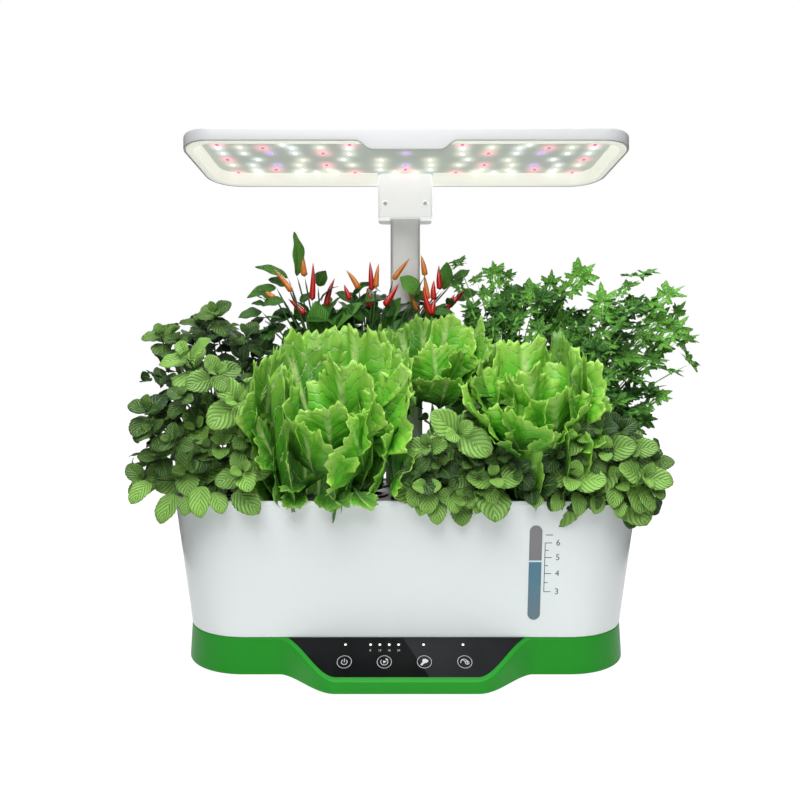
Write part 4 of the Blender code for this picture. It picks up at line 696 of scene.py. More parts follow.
def cut_leaf(count, size, rows, columns, draws):
    """Flat form of a parsley leaflet: three lobes of pointed teeth. Over the angle a the radius is
    (0.46 + 0.54 (1 - |sin 3a|)^0.6) (1 - 0.2 u^2), and every fourth column of the grid is the tip of a tooth."""
    v = np.linspace(0.03, 1, rows)[None, :, None]
    u = np.linspace(-1, 1, columns)[None, None, :]
    angle = u * math.radians(100)
    tooth = np.abs(np.mod(u * (columns - 1) / 2, 4) / 2 - 1)
    radius = (0.46 + 0.54 * (1 - np.abs(np.sin(3 * angle))) ** 0.6) * (1 - 0.20 * u**2)
    radius = radius * (1 - 0.30 * (1 - tooth) * v**2)
    phase = column(draws.uniform(0, 2 * math.pi, count))
    along = v * radius * np.cos(angle) + 0 * phase
    across = column(size) * v * radius * np.sin(angle) * 1.15
    lift = column(size) * (0.10 * v**2 * np.sin(5 * angle + phase) + 0.14 * np.abs(np.sin(angle)) * v)
    return along, across, lift


class Leaves:
    """Leaves of one plant, collected one by one and then computed together."""

    def __init__(self):
        self.rows = []

    def add(self, base, handle, tip, face, width, fold, tone):
        """One leaf: where its midrib starts, bends and ends, where its face looks, half width, fold and painted light
        and shade.
        """
        self.rows.append((base, handle, tip, face, width, fold, tone))

    def arrays(self):
        """The collected leaves as arrays: four of points or directions, then three of numbers."""
        return [np.array([row[i] for row in self.rows], float) for i in range(7)]


def leaf_along(leaves, base, aim, face, size, share, curl, fold, tone):
    """Adds a leaf that leaves base along aim and droops away from its face by curl."""
    base, aim, face = np.asarray(base, float), unit(aim), unit(face)
    tip = base + size * (aim * (1 - 0.25 * curl * curl) - face * curl * 0.5)
    handle = base + aim * size * 0.5 + face * size * 0.03
    leaves.add(base, handle, tip, face, size * share / 2, fold, tone)


def stem_paths(root, tips, bow, steps=14):
    """Stalks from a root to many tips, each rising first and then leaning out."""
    tips = np.asarray(tips, float)
    root = np.broadcast_to(root, tips.shape)
    handle = root + (tips - root) * np.array([0.25, 0.25, 0.25]) + np.array([0, 0, 1.0]) * bow
    return curve(root[:, None], handle[:, None], tips[:, None], np.broadcast_to(np.linspace(0, 1, steps), (len(tips), steps)))


def pod(number):
    """Centre of a pod at the top of its sponge."""
    low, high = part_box(f"net_pot_{number:02d}")
    return np.array([(low.x + high.x) / 2, (low.y + high.y) / 2, high.z - 6 * MM])


def sprig(leaves, stalks, root, tip, axis, size, turn, pairs, tone, draws):
    """A mint shoot: a stalk from the root to the tip, with crossed pairs of leaves that get smaller upwards."""
    axis = unit(axis)
    back = tip - axis * size * 1.5
    path = np.concatenate([curve(root, root + [0, 0, 0.45 * abs(back[2] - root[2])], back, np.linspace(0, 1, 12))[:-1],
                           back + (tip - back) * np.linspace(0, 1, 5)[:, None]])
    stalks.append(path)
    guide = unit(np.cross(axis, [0.0, 0.2, 1.0]))
    other = np.cross(axis, guide)
    places = (0.0, -0.28, -0.75, -1.5, -2.5)
    sizes = (0.60, 1.10, 1.35, 1.3, 1.1)
    tilts = (0.95, 0.55, 0.30, 0.10, 0.0)
    for pair in range(pairs):
        angle = turn + pair * math.pi / 2 + draws.normal(0, 0.12)
        for half in (0, math.pi):
            out = guide * math.cos(angle + half) + other * math.sin(angle + half)
            tilt = tilts[pair] + draws.normal(0, 0.10)
            aim = out * math.cos(tilt) + axis * math.sin(tilt)
            face = axis * math.cos(tilt) - out * math.sin(tilt)
            place = tip + axis * size * places[pair] + out * size * 0.06
            leaf = size * sizes[pair] * draws.uniform(0.86, 1.12)
            # Lower pairs get less painted light: painted shade under the pairs above them.
            leaf_along(leaves, place, aim, face, leaf, 0.84, draws.uniform(0.15, 0.7), draws.uniform(0.08, 0.32), tone - pair * 0.09 + draws.normal(0, 0.08))


def keep_clear(points):
    """Moves leaf points out of the mast, the bracket and the way of the fill lid, and below the lamp."""
    mast_low, mast_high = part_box("mast_outer_tube")
    clear = 2.5 * MM
    middle_x, middle_y = (mast_low.x + mast_high.x) / 2, (mast_low.y + mast_high.y) / 2
    half_x, half_y = (mast_high.x - mast_low.x) / 2 + clear, (mast_high.y - mast_low.y) / 2 + clear
    flat = points.reshape(-1, 3)
    off_x, off_y = flat[:, 0] - middle_x, flat[:, 1] - middle_y
    deep_x, deep_y = half_x - np.abs(off_x), half_y - np.abs(off_y)
    inside = (deep_x > 0) & (deep_y > 0)
    forward = inside & (off_y < 0)
    flat[forward, 1] = middle_y - half_y
    aside = inside & ~forward
    flat[aside, 0] = middle_x + np.sign(off_x[aside] + 1e-9) * half_x
    under_lid = (np.abs(flat[:, 0]) < 22 * MM) & (flat[:, 1] > -70 * MM) & (flat[:, 1] < 0) & (flat[:, 2] < 0.214)
    flat[under_lid, 2] = 0.214
    flat[:, 2] = np.minimum(flat[:, 2], 0.445)
    return flat.reshape(points.shape)


def plant_piece(name, node, leaves, form, finish, thickness, stalks=None, stalk_radius=0.9 * MM, extra=None):
    """Makes a plant's leaves one piece that stands for its node, and its stalks another."""
    base, handle, tip, face, width, fold, tone = leaves.arrays()
    along, across, lift = form(len(base), width, fold)
    surfaces = Surfaces()
    surfaces.add(keep_clear(bend_onto(base, handle, tip, face, along, across, lift)), np.clip(tone, 0, 1))
    piece = surfaces.piece(name, [finish], "deck")
    solid = piece.modifiers.new("thickness", "SOLIDIFY")
    solid.thickness = thickness
    solid.offset = 0
    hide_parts(node)
    if stalks:
        wood = Surfaces()
        for path in stalks:
            wood.add(tubes(keep_clear(np.asarray(path)[None]), stalk_radius), 0.5, closed=True)
        stalk = wood.piece(name + "_stalks", [extra], "deck")
    return piece


class GROW_OT_stage(bpy.types.Operator):
    """Camera, softboxes, white surround and a pale floor that keeps the object's shadow"""

    bl_idname = "grow.stage"
    bl_label = "Stage"

    def execute(self, context):
        studio = settings("studio")
        scene = context.scene
        scene.view_settings.view_transform = "Standard"
        data = bpy.data.cameras.new("camera")
        data.lens = studio.lens
        data.sensor_width = SENSOR_WIDTH
        camera = bpy.data.objects.new("camera", data)
        scene.collection.objects.link(camera)
        camera.location = studio.camera_place
        camera.rotation_euler = (math.pi / 2, 0, 0)
        scene.camera = camera
        self.surround(scene, studio.surround)
        self.floor(studio.floor_glow)
        self.flags()
        self.softbox("key", (-0.30, -1.15, 1.30), (48, 0, -14), (1.3, 0.8), studio.key_power)
        self.softbox("top", (0.0, -0.35, 1.35), (14, 0, 0), (1.3, 0.8), studio.top_power)
        self.softbox("rear", (0.3, 1.40, 1.00), (-58, 0, 8), (1.2, 0.8), studio.rear_power)
        return {"FINISHED"}

    def seen(self, finish):
        """1 for what the camera, a mirror or a window sees, else 0."""
        rays = finish.node("LightPath").outputs
        seen = finish.maths("MAXIMUM", Value(finish, rays["Is Camera Ray"]), Value(finish, rays["Is Glossy Ray"]))
        return finish.maths("MAXIMUM", seen, Value(finish, rays["Is Transmission Ray"]))

    def surround(self, scene, level):
        """A white surround that lights the object less than it shows."""
        world = bpy.data.worlds.new("surround")
        scene.world = world
        finish = Finish("surround", world)
        dim = finish.node("Background", None, {"Color": (1, 1, 1, 1), "Strength": level})
        white = finish.node("Background", None, {"Color": (1, 1, 1, 1), "Strength": 1.0})
        mixed = finish.node("MixShader", None, {0: self.seen(finish), 1: dim.outputs[0], 2: white.outputs[0]})
        finish.node("OutputWorld", None, {"Surface": mixed.outputs[0]})

    def floor(self, glow):
        """A wide pale floor under the feet."""
        height = cad_box[0].z - 0.1 * MM
        reach = 30.0
        mesh = bpy.data.meshes.new("floor")
        corners = [(-reach, -reach, height), (reach, -reach, height), (reach, reach, height), (-reach, reach, height)]
        mesh.from_pydata(corners, [], [(0, 1, 2, 3)])
        floor = bpy.data.objects.new("floor", mesh)
        bpy.context.scene.collection.objects.link(floor)
        finish = Finish("floor")
        pale = finish.node("BsdfDiffuse", None, {"Color": (0.8, 0.8, 0.8, 1)})
        faint = finish.node("BsdfDiffuse", None, {"Color": (0.22, 0.22, 0.22, 1)})
        light = finish.node("Emission", None, {"Color": (1, 1, 1, 1), "Strength": glow})
        shown = finish.node("AddShader", None, {0: faint.outputs[0], 1: light.outputs[0]})
        mixed = finish.node("MixShader", None, {0: self.seen(finish), 1: pale.outputs[0], 2: shown.outputs[0]})
        finish.node("OutputMaterial", None, {"Surface": mixed.outputs[0]})
        mesh.materials.append(finish.owner)

    def flags(self):
        """Two dark cards, out of the camera's sight, that shade the ends of the tank."""
        for side in (-1, 1):
            mesh = bpy.data.meshes.new("flag")
            near, far, top = (side * 0.50, -1.00), (side * 0.42, 1.0), 1.0
            corners = [(*near, 0), (*far, 0), (*far, top), (*near, top)]
            mesh.from_pydata(corners, [], [(0, 1, 2, 3)])
            card = bpy.data.objects.new("flag", mesh)
            bpy.context.scene.collection.objects.link(card)
            finish = Finish("flag")
            vector, _ = finish.place()
            shade = finish.noise(vector, 3.0) * 0.02 + 0.03
            mesh.materials.append(finish.surface(Base_Color=(0.04, 0.04, 0.04, 1), Roughness=shade + 0.9))
            card.visible_camera = False

    def softbox(self, name, place, turn, size, power):
        """A rectangular lamp."""
        data = bpy.data.lights.new(name, "AREA")
        data.shape = "RECTANGLE"
        data.size, data.size_y = size
        data.energy = power
        lamp = bpy.data.objects.new(name, data)
        bpy.context.scene.collection.objects.link(lamp)
        lamp.location = place
        lamp.rotation_euler = [math.radians(angle) for angle in turn]
        lamp.visible_camera = False


def softened(profile, radius, steps=4):
    """Rounds the corners of an open profile by short curves of about a radius."""
    profile = np.asarray(profile, float)
    points = [profile[:1]]
    for before, corner, after in zip(profile[:-2], profile[1:-1], profile[2:]):
        reach = min(radius, np.linalg.norm(before - corner) / 2.2, np.linalg.norm(after - corner) / 2.2)
        start, end = corner + unit(before - corner) * reach, corner + unit(after - corner) * reach
        points.append(curve(start, corner, end, np.linspace(0, 1, steps)))
    return np.concatenate(points + [profile[-1:]])


def smooth_step(share):
    """An S-curve from 0 to 1."""
    share = np.clip(share, 0, 1)
    return share * share * (3 - 2 * share)


def tank_radius(height):
    """Outer radius of the tank's ends at a height: it widens evenly from the seam to the rim."""
    seam = settings("casing").seam_radius
    return seam + (RIM_RADIUS - seam) * (height - SEAM_HEIGHT) / (RIM_HEIGHT - SEAM_HEIGHT)


def slope_height(y):
    """Height of the sloping face over a depth."""
    panel = settings("panel")
    grade = (SEAM_HEIGHT - panel.lip_height) / (panel.reach - settings("casing").seam_radius)
    return panel.lip_height + grade * (y + panel.reach)


def nose(steps=44):
    """Half-widths and reaches of the nose in plan: an S-curve from its flat front back to the shoulder."""
    panel = settings("panel")
    share = np.linspace(0, 1, steps + 1)
    x = panel.front_half + (panel.shoulder_half - panel.front_half) * share
    return x, panel.reach - (panel.reach - panel.shoulder_reach) * smooth_step(share)


def mirrored(x, y):
    """An outline from its left end to its right one, given the right half from the middle outwards."""
    right = np.column_stack([x, y])
    return np.concatenate([right[::-1] * [-1, 1], right])


def housing_ring(radius, height, wall=0.0, drop=0.0):
    """Outline at a height: a stadium whose front is the nose, cut back by the slope. The two are blended by
    a smooth minimum, which rounds the edge between them."""
    panel = settings("panel")
    seam = settings("casing").seam_radius
    x, reach = nose()
    cut = panel.reach - (height + drop - panel.lip_height) * (panel.reach - seam) / (SEAM_HEIGHT - panel.lip_height)
    blend = 1.6 * MM
    share = np.clip(0.5 + 0.5 * (reach - wall - cut) / blend, 0, 1)
    reach = (reach - wall) * (1 - share) + cut * share - blend * share * (1 - share)
    front = np.maximum(reach, radius)
    body = stadium(radius)
    return at_height(np.concatenate([mirrored(x, -front), body[: len(body) - 23]]), height)


def slope_outline(inset, back):
    """The nose in plan less an inset square to itself, cut straight at the back."""
    x, reach = nose(60)
    run = np.gradient(reach, x)
    size = np.hypot(1, run)
    x, y = x + inset * run / size, -(reach - inset / size)
    corner = np.interp(back, y, x)
    keep = y < back - 0.2 * MM
    middle = np.linspace(0, x[0], 20)[:-1]
    return mirrored(np.concatenate([middle[1:], x[keep], [corner]]), np.concatenate([np.full(18, y[0]), y[keep], [back]]))


def on_slope(x, down, lift=0.0):
    """A point of the sloping face: x, distance down the slope from the icons' row, and height off it."""
    panel = settings("panel")
    grade = (SEAM_HEIGHT - panel.lip_height) / (panel.reach - settings("casing").seam_radius)
    tilt = math.atan(grade)
    x, down = np.broadcast_arrays(np.asarray(x, float), np.asarray(down, float))
    y = -panel.icon_depth - down * math.cos(tilt) - lift * math.sin(tilt)
    z = slope_height(-panel.icon_depth) - down * math.sin(tilt) + lift * math.cos(tilt)
    return np.stack([x, y, z], -1)


def strokes(surfaces, lines, width, place, lift, slot=0):
    """Prints lines as flat ribbons. Each line is an array of points in a plane that place maps to space."""
    for line in lines:
        line = np.asarray(line, float)
        run = unit(np.gradient(line, axis=0))
        side = np.column_stack([-run[:, 1], run[:, 0]]) * width / 2
        edges = np.stack([line - side, line + side])
        surfaces.add(place(edges[..., 0], edges[..., 1], lift), 0.5, slot)


def fill(surfaces, outline, place, lift, slot=0):
    """Prints a filled shape: a fan from its middle to its outline."""
    outline = np.asarray(outline, float)
    outline = np.concatenate([outline, outline[:1]])
    middle = np.broadcast_to(outline[:-1].mean(0), outline.shape)
    both = np.stack([middle + (outline - middle) * 0.01, outline])
    surfaces.add(place(both[..., 0], both[..., 1], lift), 0.5, slot)


def arc(radius, first, last, steps=32, x=0.0, y=0.0):
    """Points of an arc between two angles in degrees."""
    angles = np.radians(np.linspace(first, last, steps))
    return np.column_stack([x + radius * np.cos(angles), y + radius * np.sin(angles)])


def numeral(text, size, place, finish, body, lift=0.0):
    """A plain number, mapped to a surface by place(x, y, lift)."""
    data = bpy.data.curves.new("numeral_" + text, "FONT")
    data.body = text
    data.size = size
    data.align_x = "CENTER"
    data.align_y = "CENTER"
    shape = bpy.data.objects.new("numeral_" + text, data)
    bpy.context.scene.collection.objects.link(shape)
    bpy.context.view_layer.update()
    mesh = bpy.data.meshes.new_from_object(shape.evaluated_get(bpy.context.evaluated_depsgraph_get()))
    bpy.data.objects.remove(shape)
    points = np.empty(len(mesh.vertices) * 3)
    mesh.vertices.foreach_get("co", points)
    points = points.reshape(-1, 3)
    mesh.vertices.foreach_set("co", np.ascontiguousarray(place(points[:, 0], points[:, 1], lift)).ravel())
    mesh.update()
    mesh.materials.clear()
    piece = finished("number_" + text, mesh, [finish], body)
    return piece


class GROW_OT_casing(bpy.types.Operator):
    """Tank with its banded rim, and the green housing with its nose"""

    bl_idname = "grow.casing"
    bl_label = "Tank and housing"

    def execute(self, context):
        casing = settings("casing")
        if RIM_RADIUS <= casing.seam_radius:
            raise RuntimeError("The frame's tank is no wider than the seam.")
        self.tank(casing)
        self.housing(casing)
        return {"FINISHED"}

    def tank(self, casing):
        """A tapered cup, lofted from one softened profile of radius and height."""
        bottom, band = SEAM_HEIGHT + 0.3 * MM, RIM_HEIGHT - casing.band_height
        inner, ledge, floor = RIM_RADIUS - casing.wall, DECK_TOP - 3.3 * MM, SEAM_HEIGHT + 3.3 * MM
        profile = [(casing.seam_radius - 8 * MM, bottom), (tank_radius(bottom), bottom)]
        profile += [(tank_radius(z), z) for z in np.linspace(bottom + 4 * MM, band, 12)]
        profile += [(tank_radius(band) + casing.band_proud, band + 0.25 * MM), (RIM_RADIUS, RIM_HEIGHT)]
        profile += [(inner, RIM_HEIGHT), (inner, ledge), (inner - 2.8 * MM, ledge), (inner - 2.8 * MM, ledge - 2.8 * MM)]
        profile += [(tank_radius(z) - casing.wall, z) for z in np.linspace(ledge - 5.6 * MM, floor, 6)]
        profile += [(casing.seam_radius - 12 * MM, floor)]
        rings = [at_height(stadium(radius), z) for radius, z in softened(profile, casing.soft_edge)]
        finish = moulded("tank_white", casing.white, 0.30, 0.03, 0.15)
        tank = skin("tank_shell", rings, finish, "base", 30)
        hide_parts("water_tank")

    def housing(self, casing):
        """A low stadium with a nose, hollow from below. Its rings climb 0.4 mm at a time up the slope."""
        panel, wall, soft = settings("panel"), 2.4 * MM, casing.soft_edge
        drop = 4.8 * MM
        outer = [(panel.flare * (1 - z / SEAM_HEIGHT), z) for z in np.linspace(soft, SEAM_HEIGHT - soft, 84)]
        rings = [housing_ring(casing.seam_radius - wall, z, wall, drop) for z in np.linspace(SEAM_HEIGHT - wall, 0, 20)]
        for share in np.linspace(0, 1, 5)[:-1]:
            inset = soft * (1 - math.sin(share * math.pi / 2))
            rings.append(housing_ring(casing.seam_radius + panel.flare - inset, soft * (1 - math.cos(share * math.pi / 2)), inset))
        rings += [housing_ring(casing.seam_radius + grow, z) for grow, z in outer]
        for share in np.linspace(0, 1, 5)[1:]:
            inset = soft * (1 - math.cos(share * math.pi / 2))
            rings.append(housing_ring(casing.seam_radius - inset, SEAM_HEIGHT - soft + soft * math.sin(share * math.pi / 2), inset))
        finish = moulded("housing_green", casing.green, 0.42, 0.05, level=0.2)
        housing = skin("housing_shell", rings, finish, "base", 30)
        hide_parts("base_housing")


class GROW_OT_panel(bpy.types.Operator):
    """Black touch panel with its lights, icons and numbers"""

    bl_idname = "grow.panel"
    bl_label = "Touch panel"

    def execute(self, context):
        panel, casing = settings("panel"), settings("casing")
        back = -casing.seam_radius - 0.45 * MM
        outline = slope_outline(panel.border + 0.3 * MM, back)
        inner = slope_outline(panel.border + 0.5 * MM, back - 0.2 * MM)
        top = slope_height(outline[:, 1])
        rings = [at_height(outline, top - 1.2 * MM), at_height(outline, top - 0.1 * MM), at_height(inner, slope_height(inner[:, 1]) + 0.12 * MM)]
        glass = skin("touch_panel", rings, panel_gloss("panel_black", casing.panel), "base", 25)
        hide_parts("control_panel")
        # Painted shadow: a dark ribbon that stands for the shade in the joint between the housing and the tank's front
        # wall.
        seam, reach = Surfaces(), outline[:, 0].max() - 0.3 * MM
        strokes(seam, [[(-reach, 0), (0, 0), (reach, 0)]], 1.5 * MM, self.under_tank, 0.55 * MM)
        seam.piece("panel_seam_shadow", [moulded("painted_seam_shadow", casing.panel, 0.5, 0.0)], "base")
        self.lights(panel)
        self.icons(panel)
        return {"FINISHED"}

    def under_tank(self, x, up, lift):
        """A point of the joint between the housing and the tank's front wall."""
        return np.stack([x, 0 * x - settings("casing").seam_radius - lift, SEAM_HEIGHT - 0.35 * MM + up], -1)

    def lights(self, panel):
        """Seven small domes that glow through the panel."""
        across = np.array([-56.6, -33.3, -24.7, -16.0, -7.3, 15.9, 52.5]) * MM
        grade = (SEAM_HEIGHT - panel.lip_height) / (panel.reach - settings("casing").seam_radius)
        up = -(panel.icon_depth - panel.pip_depth) / math.cos(math.atan(grade))
        angles = np.linspace(0, 2 * math.pi, 20, endpoint=False)
        bulge = np.linspace(0, math.pi / 2, 6)[:, None]
        x = across[:, None, None] + 1.15 * MM * np.cos(bulge) * np.cos(angles)
        down = up + 1.15 * MM * np.cos(bulge) * np.sin(angles) + 0 * x
        lift = 0.1 * MM + 0.45 * MM * np.sin(bulge) + 0 * x
        domes = Surfaces()
        domes.add(self.place(x, down, lift), 0.5, closed=True)
        piece = domes.piece("indicator_lights", [shining("indicator_white", (0.86, 1.0, 0.90), 0.75)], "base")

    def place(self, x, down, lift):
        """on_slope for a lift that varies."""
        return on_slope(x, down) + (on_slope(0, 0, 1.0) - on_slope(0, 0, 0.0)) * np.asarray(lift)[..., None]

    def icons(self, panel):
        """Print of four touch keys in their rings, and the numbers under the four close lights."""
        ink = Surfaces()
        lift = panel.ink + 0.14 * MM
        radius, line = panel.icon_radius, 0.40 * MM
        for x in (-56.3, -20.2, 16.0, 52.5):
            strokes(ink, [arc(radius, 0, 360, 72, x * MM)], line, on_slope, lift)
        strokes(ink, [arc(2.6 * MM, -55, 235, 40, -56.3 * MM, 0.2 * MM), [(-56.3 * MM, -3.4 * MM), (-56.3 * MM, -1.5 * MM), (-56.3 * MM, 0.4 * MM)]], 0.6 * MM, on_slope, lift)
        strokes(ink, [arc(3.3 * MM, -60, 220, 40, -20.2 * MM)], 0.55 * MM, on_slope, lift)
        fill(ink, np.array([(-1.1, -1.5), (1.8, 0), (-1.1, 1.5)]) * MM + [-20.0 * MM, 0], on_slope, lift)
        fill(ink, np.array([(1.2, -3.9), (3.6, -2.6), (1.5, -1.3)]) * MM + [-20.2 * MM, 0], on_slope, lift)
        angles = np.linspace(0, 2 * math.pi, 49)[:-1]
        blob = 2.7 * MM * (1 + 0.08 * np.cos(3 * angles) + 0.09 * np.sin(8 * angles))
        fill(ink, np.column_stack([16.7 * MM + blob * np.cos(angles), -0.9 * MM + blob * 0.85 * np.sin(angles)]), on_slope, lift)
        strokes(ink, [[(15.2 * MM, 0.6 * MM), (14.0 * MM, 2.2 * MM), (12.9 * MM, 3.4 * MM)]], 1.9 * MM, on_slope, lift)
        strokes(ink, [arc(3.1 * MM, -200, 40, 30, 51.9 * MM, 0.2 * MM), arc(1.7 * MM, 0, 360, 24, 54.6 * MM, 0.9 * MM)], 0.55 * MM, on_slope, lift)
        strokes(ink, [[(48.9 * MM, -0.6 * MM), (50.6 * MM, -2.4 * MM), (52.4 * MM, -1.0 * MM), (53.6 * MM, 1.0 * MM)]], 0.7 * MM, on_slope, lift)
        white = moulded("panel_print", (0.62, 0.64, 0.66), 0.5, 0.0)
        piece = ink.piece("panel_icons", [white], "base")
        for text, x in (("8", -33.3), ("12", -24.7), ("16", -16.0), ("24", -7.3)):
            numeral(text, 2.9 * MM, lambda a, b, up, x=x: on_slope(a + x * MM, -12.2 * MM - b, up), white, "base", lift)


class GROW_OT_gauge(bpy.types.Operator):
    """Gauge strip with its water line, and the scale printed beside it"""

    bl_idname = "grow.gauge"
    bl_label = "Water gauge"

    def execute(self, context):
        casing = settings("casing")
        strip = dressed("gauge_window", gauge_finish("gauge_strip", casing.water_line), "base", 0.25 * MM, 40)
        strip.modifiers["soft_edge"].segments = 2
        dressed("gauge_seal", moulded("seal_rubber", (0.02, 0.02, 0.02), 0.8), "base")
        green = moulded("scale_print", casing.print_green, 0.5, 0.0)
        ticks = Surfaces()
        bar = 127.7 * MM
        lines = [[(bar, 79.1 * MM), (bar, 97 * MM), (bar, 125.9 * MM)]]
        for z, reach in ((125.9, 134.0), (112.0, 134.0), (96.6, 134.0), (79.1, 134.0), (118.8, 131.0), (104.2, 131.0), (87.9, 131.0), (133.4, 134.5)):
            lines.append([(bar, z * MM), ((bar + reach * MM) / 2, z * MM), (reach * MM, z * MM)])
        strokes(ticks, lines, 0.65 * MM, self.on_wall, 0.06 * MM)
        scale = ticks.piece("gauge_scale", [green], "base")
        for text, z in (("6", 125.9), ("5", 112.0), ("4", 96.6), ("3", 79.1)):
            numeral(text, 8.2 * MM, lambda a, b, up, z=z: self.on_wall(a + 139.6 * MM, b + z * MM, up), green, "base", 0.06 * MM)
        return {"FINISHED"}

    def on_wall(self, x, z, lift=0.0):
        """A point of the tank's front wall."""
        x, z = np.broadcast_arrays(np.asarray(x, float), np.asarray(z, float))
        y = np.array([-tank_radius(height) for height in z.ravel()]).reshape(z.shape) - lift
        return np.stack([x, y, z], -1)


class GROW_OT_deck(bpy.types.Operator):
    """Deck with its net pots, sponge and fill lid"""

    bl_idname = "grow.deck"
    bl_label = "Deck and pots"

    def execute(self, context):
        casing = settings("casing")
        dark = moulded("deck_dark", casing.dark, 0.45, 0.08)
        dressed("grow_deck", dark, "deck", 0.3 * MM)
        pots = moulded("pot_dark", [part * 0.7 for part in casing.dark], 0.5, 0.08)
        for number in range(1, 13):
            dressed(f"net_pot_{number:02d}", pots, "deck")
        soft = Finish("grow_sponge")
        vector, _ = soft.place()
        pores = soft.noise(vector, 700.0, 4.0, 0.7)
        shade = soft.mix(pores, (0.035, 0.024, 0.014, 1), (0.15, 0.11, 0.07, 1))
        sponge = soft.surface(Base_Color=shade, Roughness=pores * 0.1 + 0.85, Normal=soft.bump(pores, 0.8, 0.001))
        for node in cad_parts:
            if node.startswith("grow_sponge"):
                dressed(node, sponge, "deck")
        dressed("fill_lid", dark, "lid", 0.3 * MM)
        dressed("lid_pin", satin_metal("pin_steel", (0.6, 0.6, 0.62)), "deck")
        return {"FINISHED"}


class GROW_OT_inside(bpy.types.Operator):
    """Pump, boards, inlet, floor and feet"""

    bl_idname = "grow.inside"
    bl_label = "Inner pieces"

    def execute(self, context):
        casing = settings("casing")
        dark = moulded("inner_dark", casing.dark, 0.5, 0.08)
        rubber = moulded("foot_rubber", (0.018, 0.018, 0.018), 0.85)
        board = moulded("circuit_green", (0.03, 0.16, 0.07), 0.5)
        clear = moulded("clear_guide", (0.55, 0.66, 0.70), 0.15)
        white = moulded("inner_white", casing.white, 0.35)
        pieces = [("base_floor", dark, "dark_plastic"), ("power_jack", dark, "dark_plastic"), ("pump_body", dark, "dark_plastic")]
        pieces += [("pump_cover", dark, "dark_plastic"), ("lead_grommet", rubber, "rubber"), ("light_guide", clear, "clear_plastic")]
        pieces += [("touch_board", board, "board_green"), ("control_board", board, "board_green"), ("pump_riser", clear, "clear_plastic")]
        pieces += [(f"foot_{number}", rubber, "rubber") for number in range(1, 5)]
        for node, finish, slot in pieces:
            dressed(node, finish, "base", 0.2 * MM)
        dressed("impeller", white, "impeller")
        return {"FINISHED"}


class GROW_OT_mast(bpy.types.Operator):
    """Socket, telescopic mast, its collar, and the bracket under the lamp"""

    bl_idname = "grow.mast"
    bl_label = "Mast and bracket"

    def execute(self, context):
        lamp = settings("lamp")
        metal = satin_metal("mast_metal", lamp.metal, 0.40, 0.20)
        # The bracket's front glows with painted light from the chips above it. The white of the socket and the
        # bracket's back has none.
        white = moulded("bracket_white_painted_light", lamp.white, 0.32, 0.03, 0.1, glow=lamp.painted_bounce * 1.1)
        socket_white = moulded("socket_white", lamp.white, 0.32, 0.03, 0.1)
        steel = satin_metal("screw_steel", (0.62, 0.62, 0.64), 0.45)
        dressed("mast_outer_tube", metal, "deck", 0.3 * MM)
        dressed("mast_inner_tube", metal, "lamp", 0.3 * MM)
        for node in ("mast_socket", "mast_collar"):
            dressed(node, socket_white, "deck", 0.5 * MM)
        dressed("bracket_front", white, "lamp", 0.4 * MM)
        dressed("bracket_back", socket_white, "lamp", 0.4 * MM)
        for node in ("bracket_screw_left", "bracket_screw_right"):
            dressed(node, steel, "lamp", 0.15 * MM)
        return {"FINISHED"}


# Lights of the board: across and down in the photograph for the whites of the left half, which the
# right half mirrors, and millimetres on the board for the coloured ones, the outer of which are mirrored too.
COOL_LIGHTS = ((218, 148), (223, 153.5), (244, 153.5), (258, 159.6), (253, 165), (259.5, 172), (282, 144.7), (292, 148), (295, 153.3),
               (298, 172), (343.5, 159.5), (348.6, 148.7), (317, 172), (380.5, 169.8))
WARM_LIGHTS = ((240, 147.5), (233, 165), (256, 169.8), (299, 165), (303, 160), (303, 169.8), (320, 147.5), (329, 170), (336, 172),
               (349.4, 154), (352, 165), (381, 160), (380, 165), (395, 172))
RED_LIGHTS = ((189, -30), (189, 8.5), (187, 46), (145, -21.6), (143, 37), (85.5, -8.1), (85.5, 23.9), (56.4, -30), (56.4, 46), (0, 37))
BLUE_LIGHTS = ((0, -8.1), (0, 23.9), (140, -8.1), (139, 23.9))
LIGHT_COLOURS = ((0.90, 1.0, 0.98), (1.0, 0.93, 0.62), (0.95, 0.06, 0.16), (0.42, 0.18, 0.95))


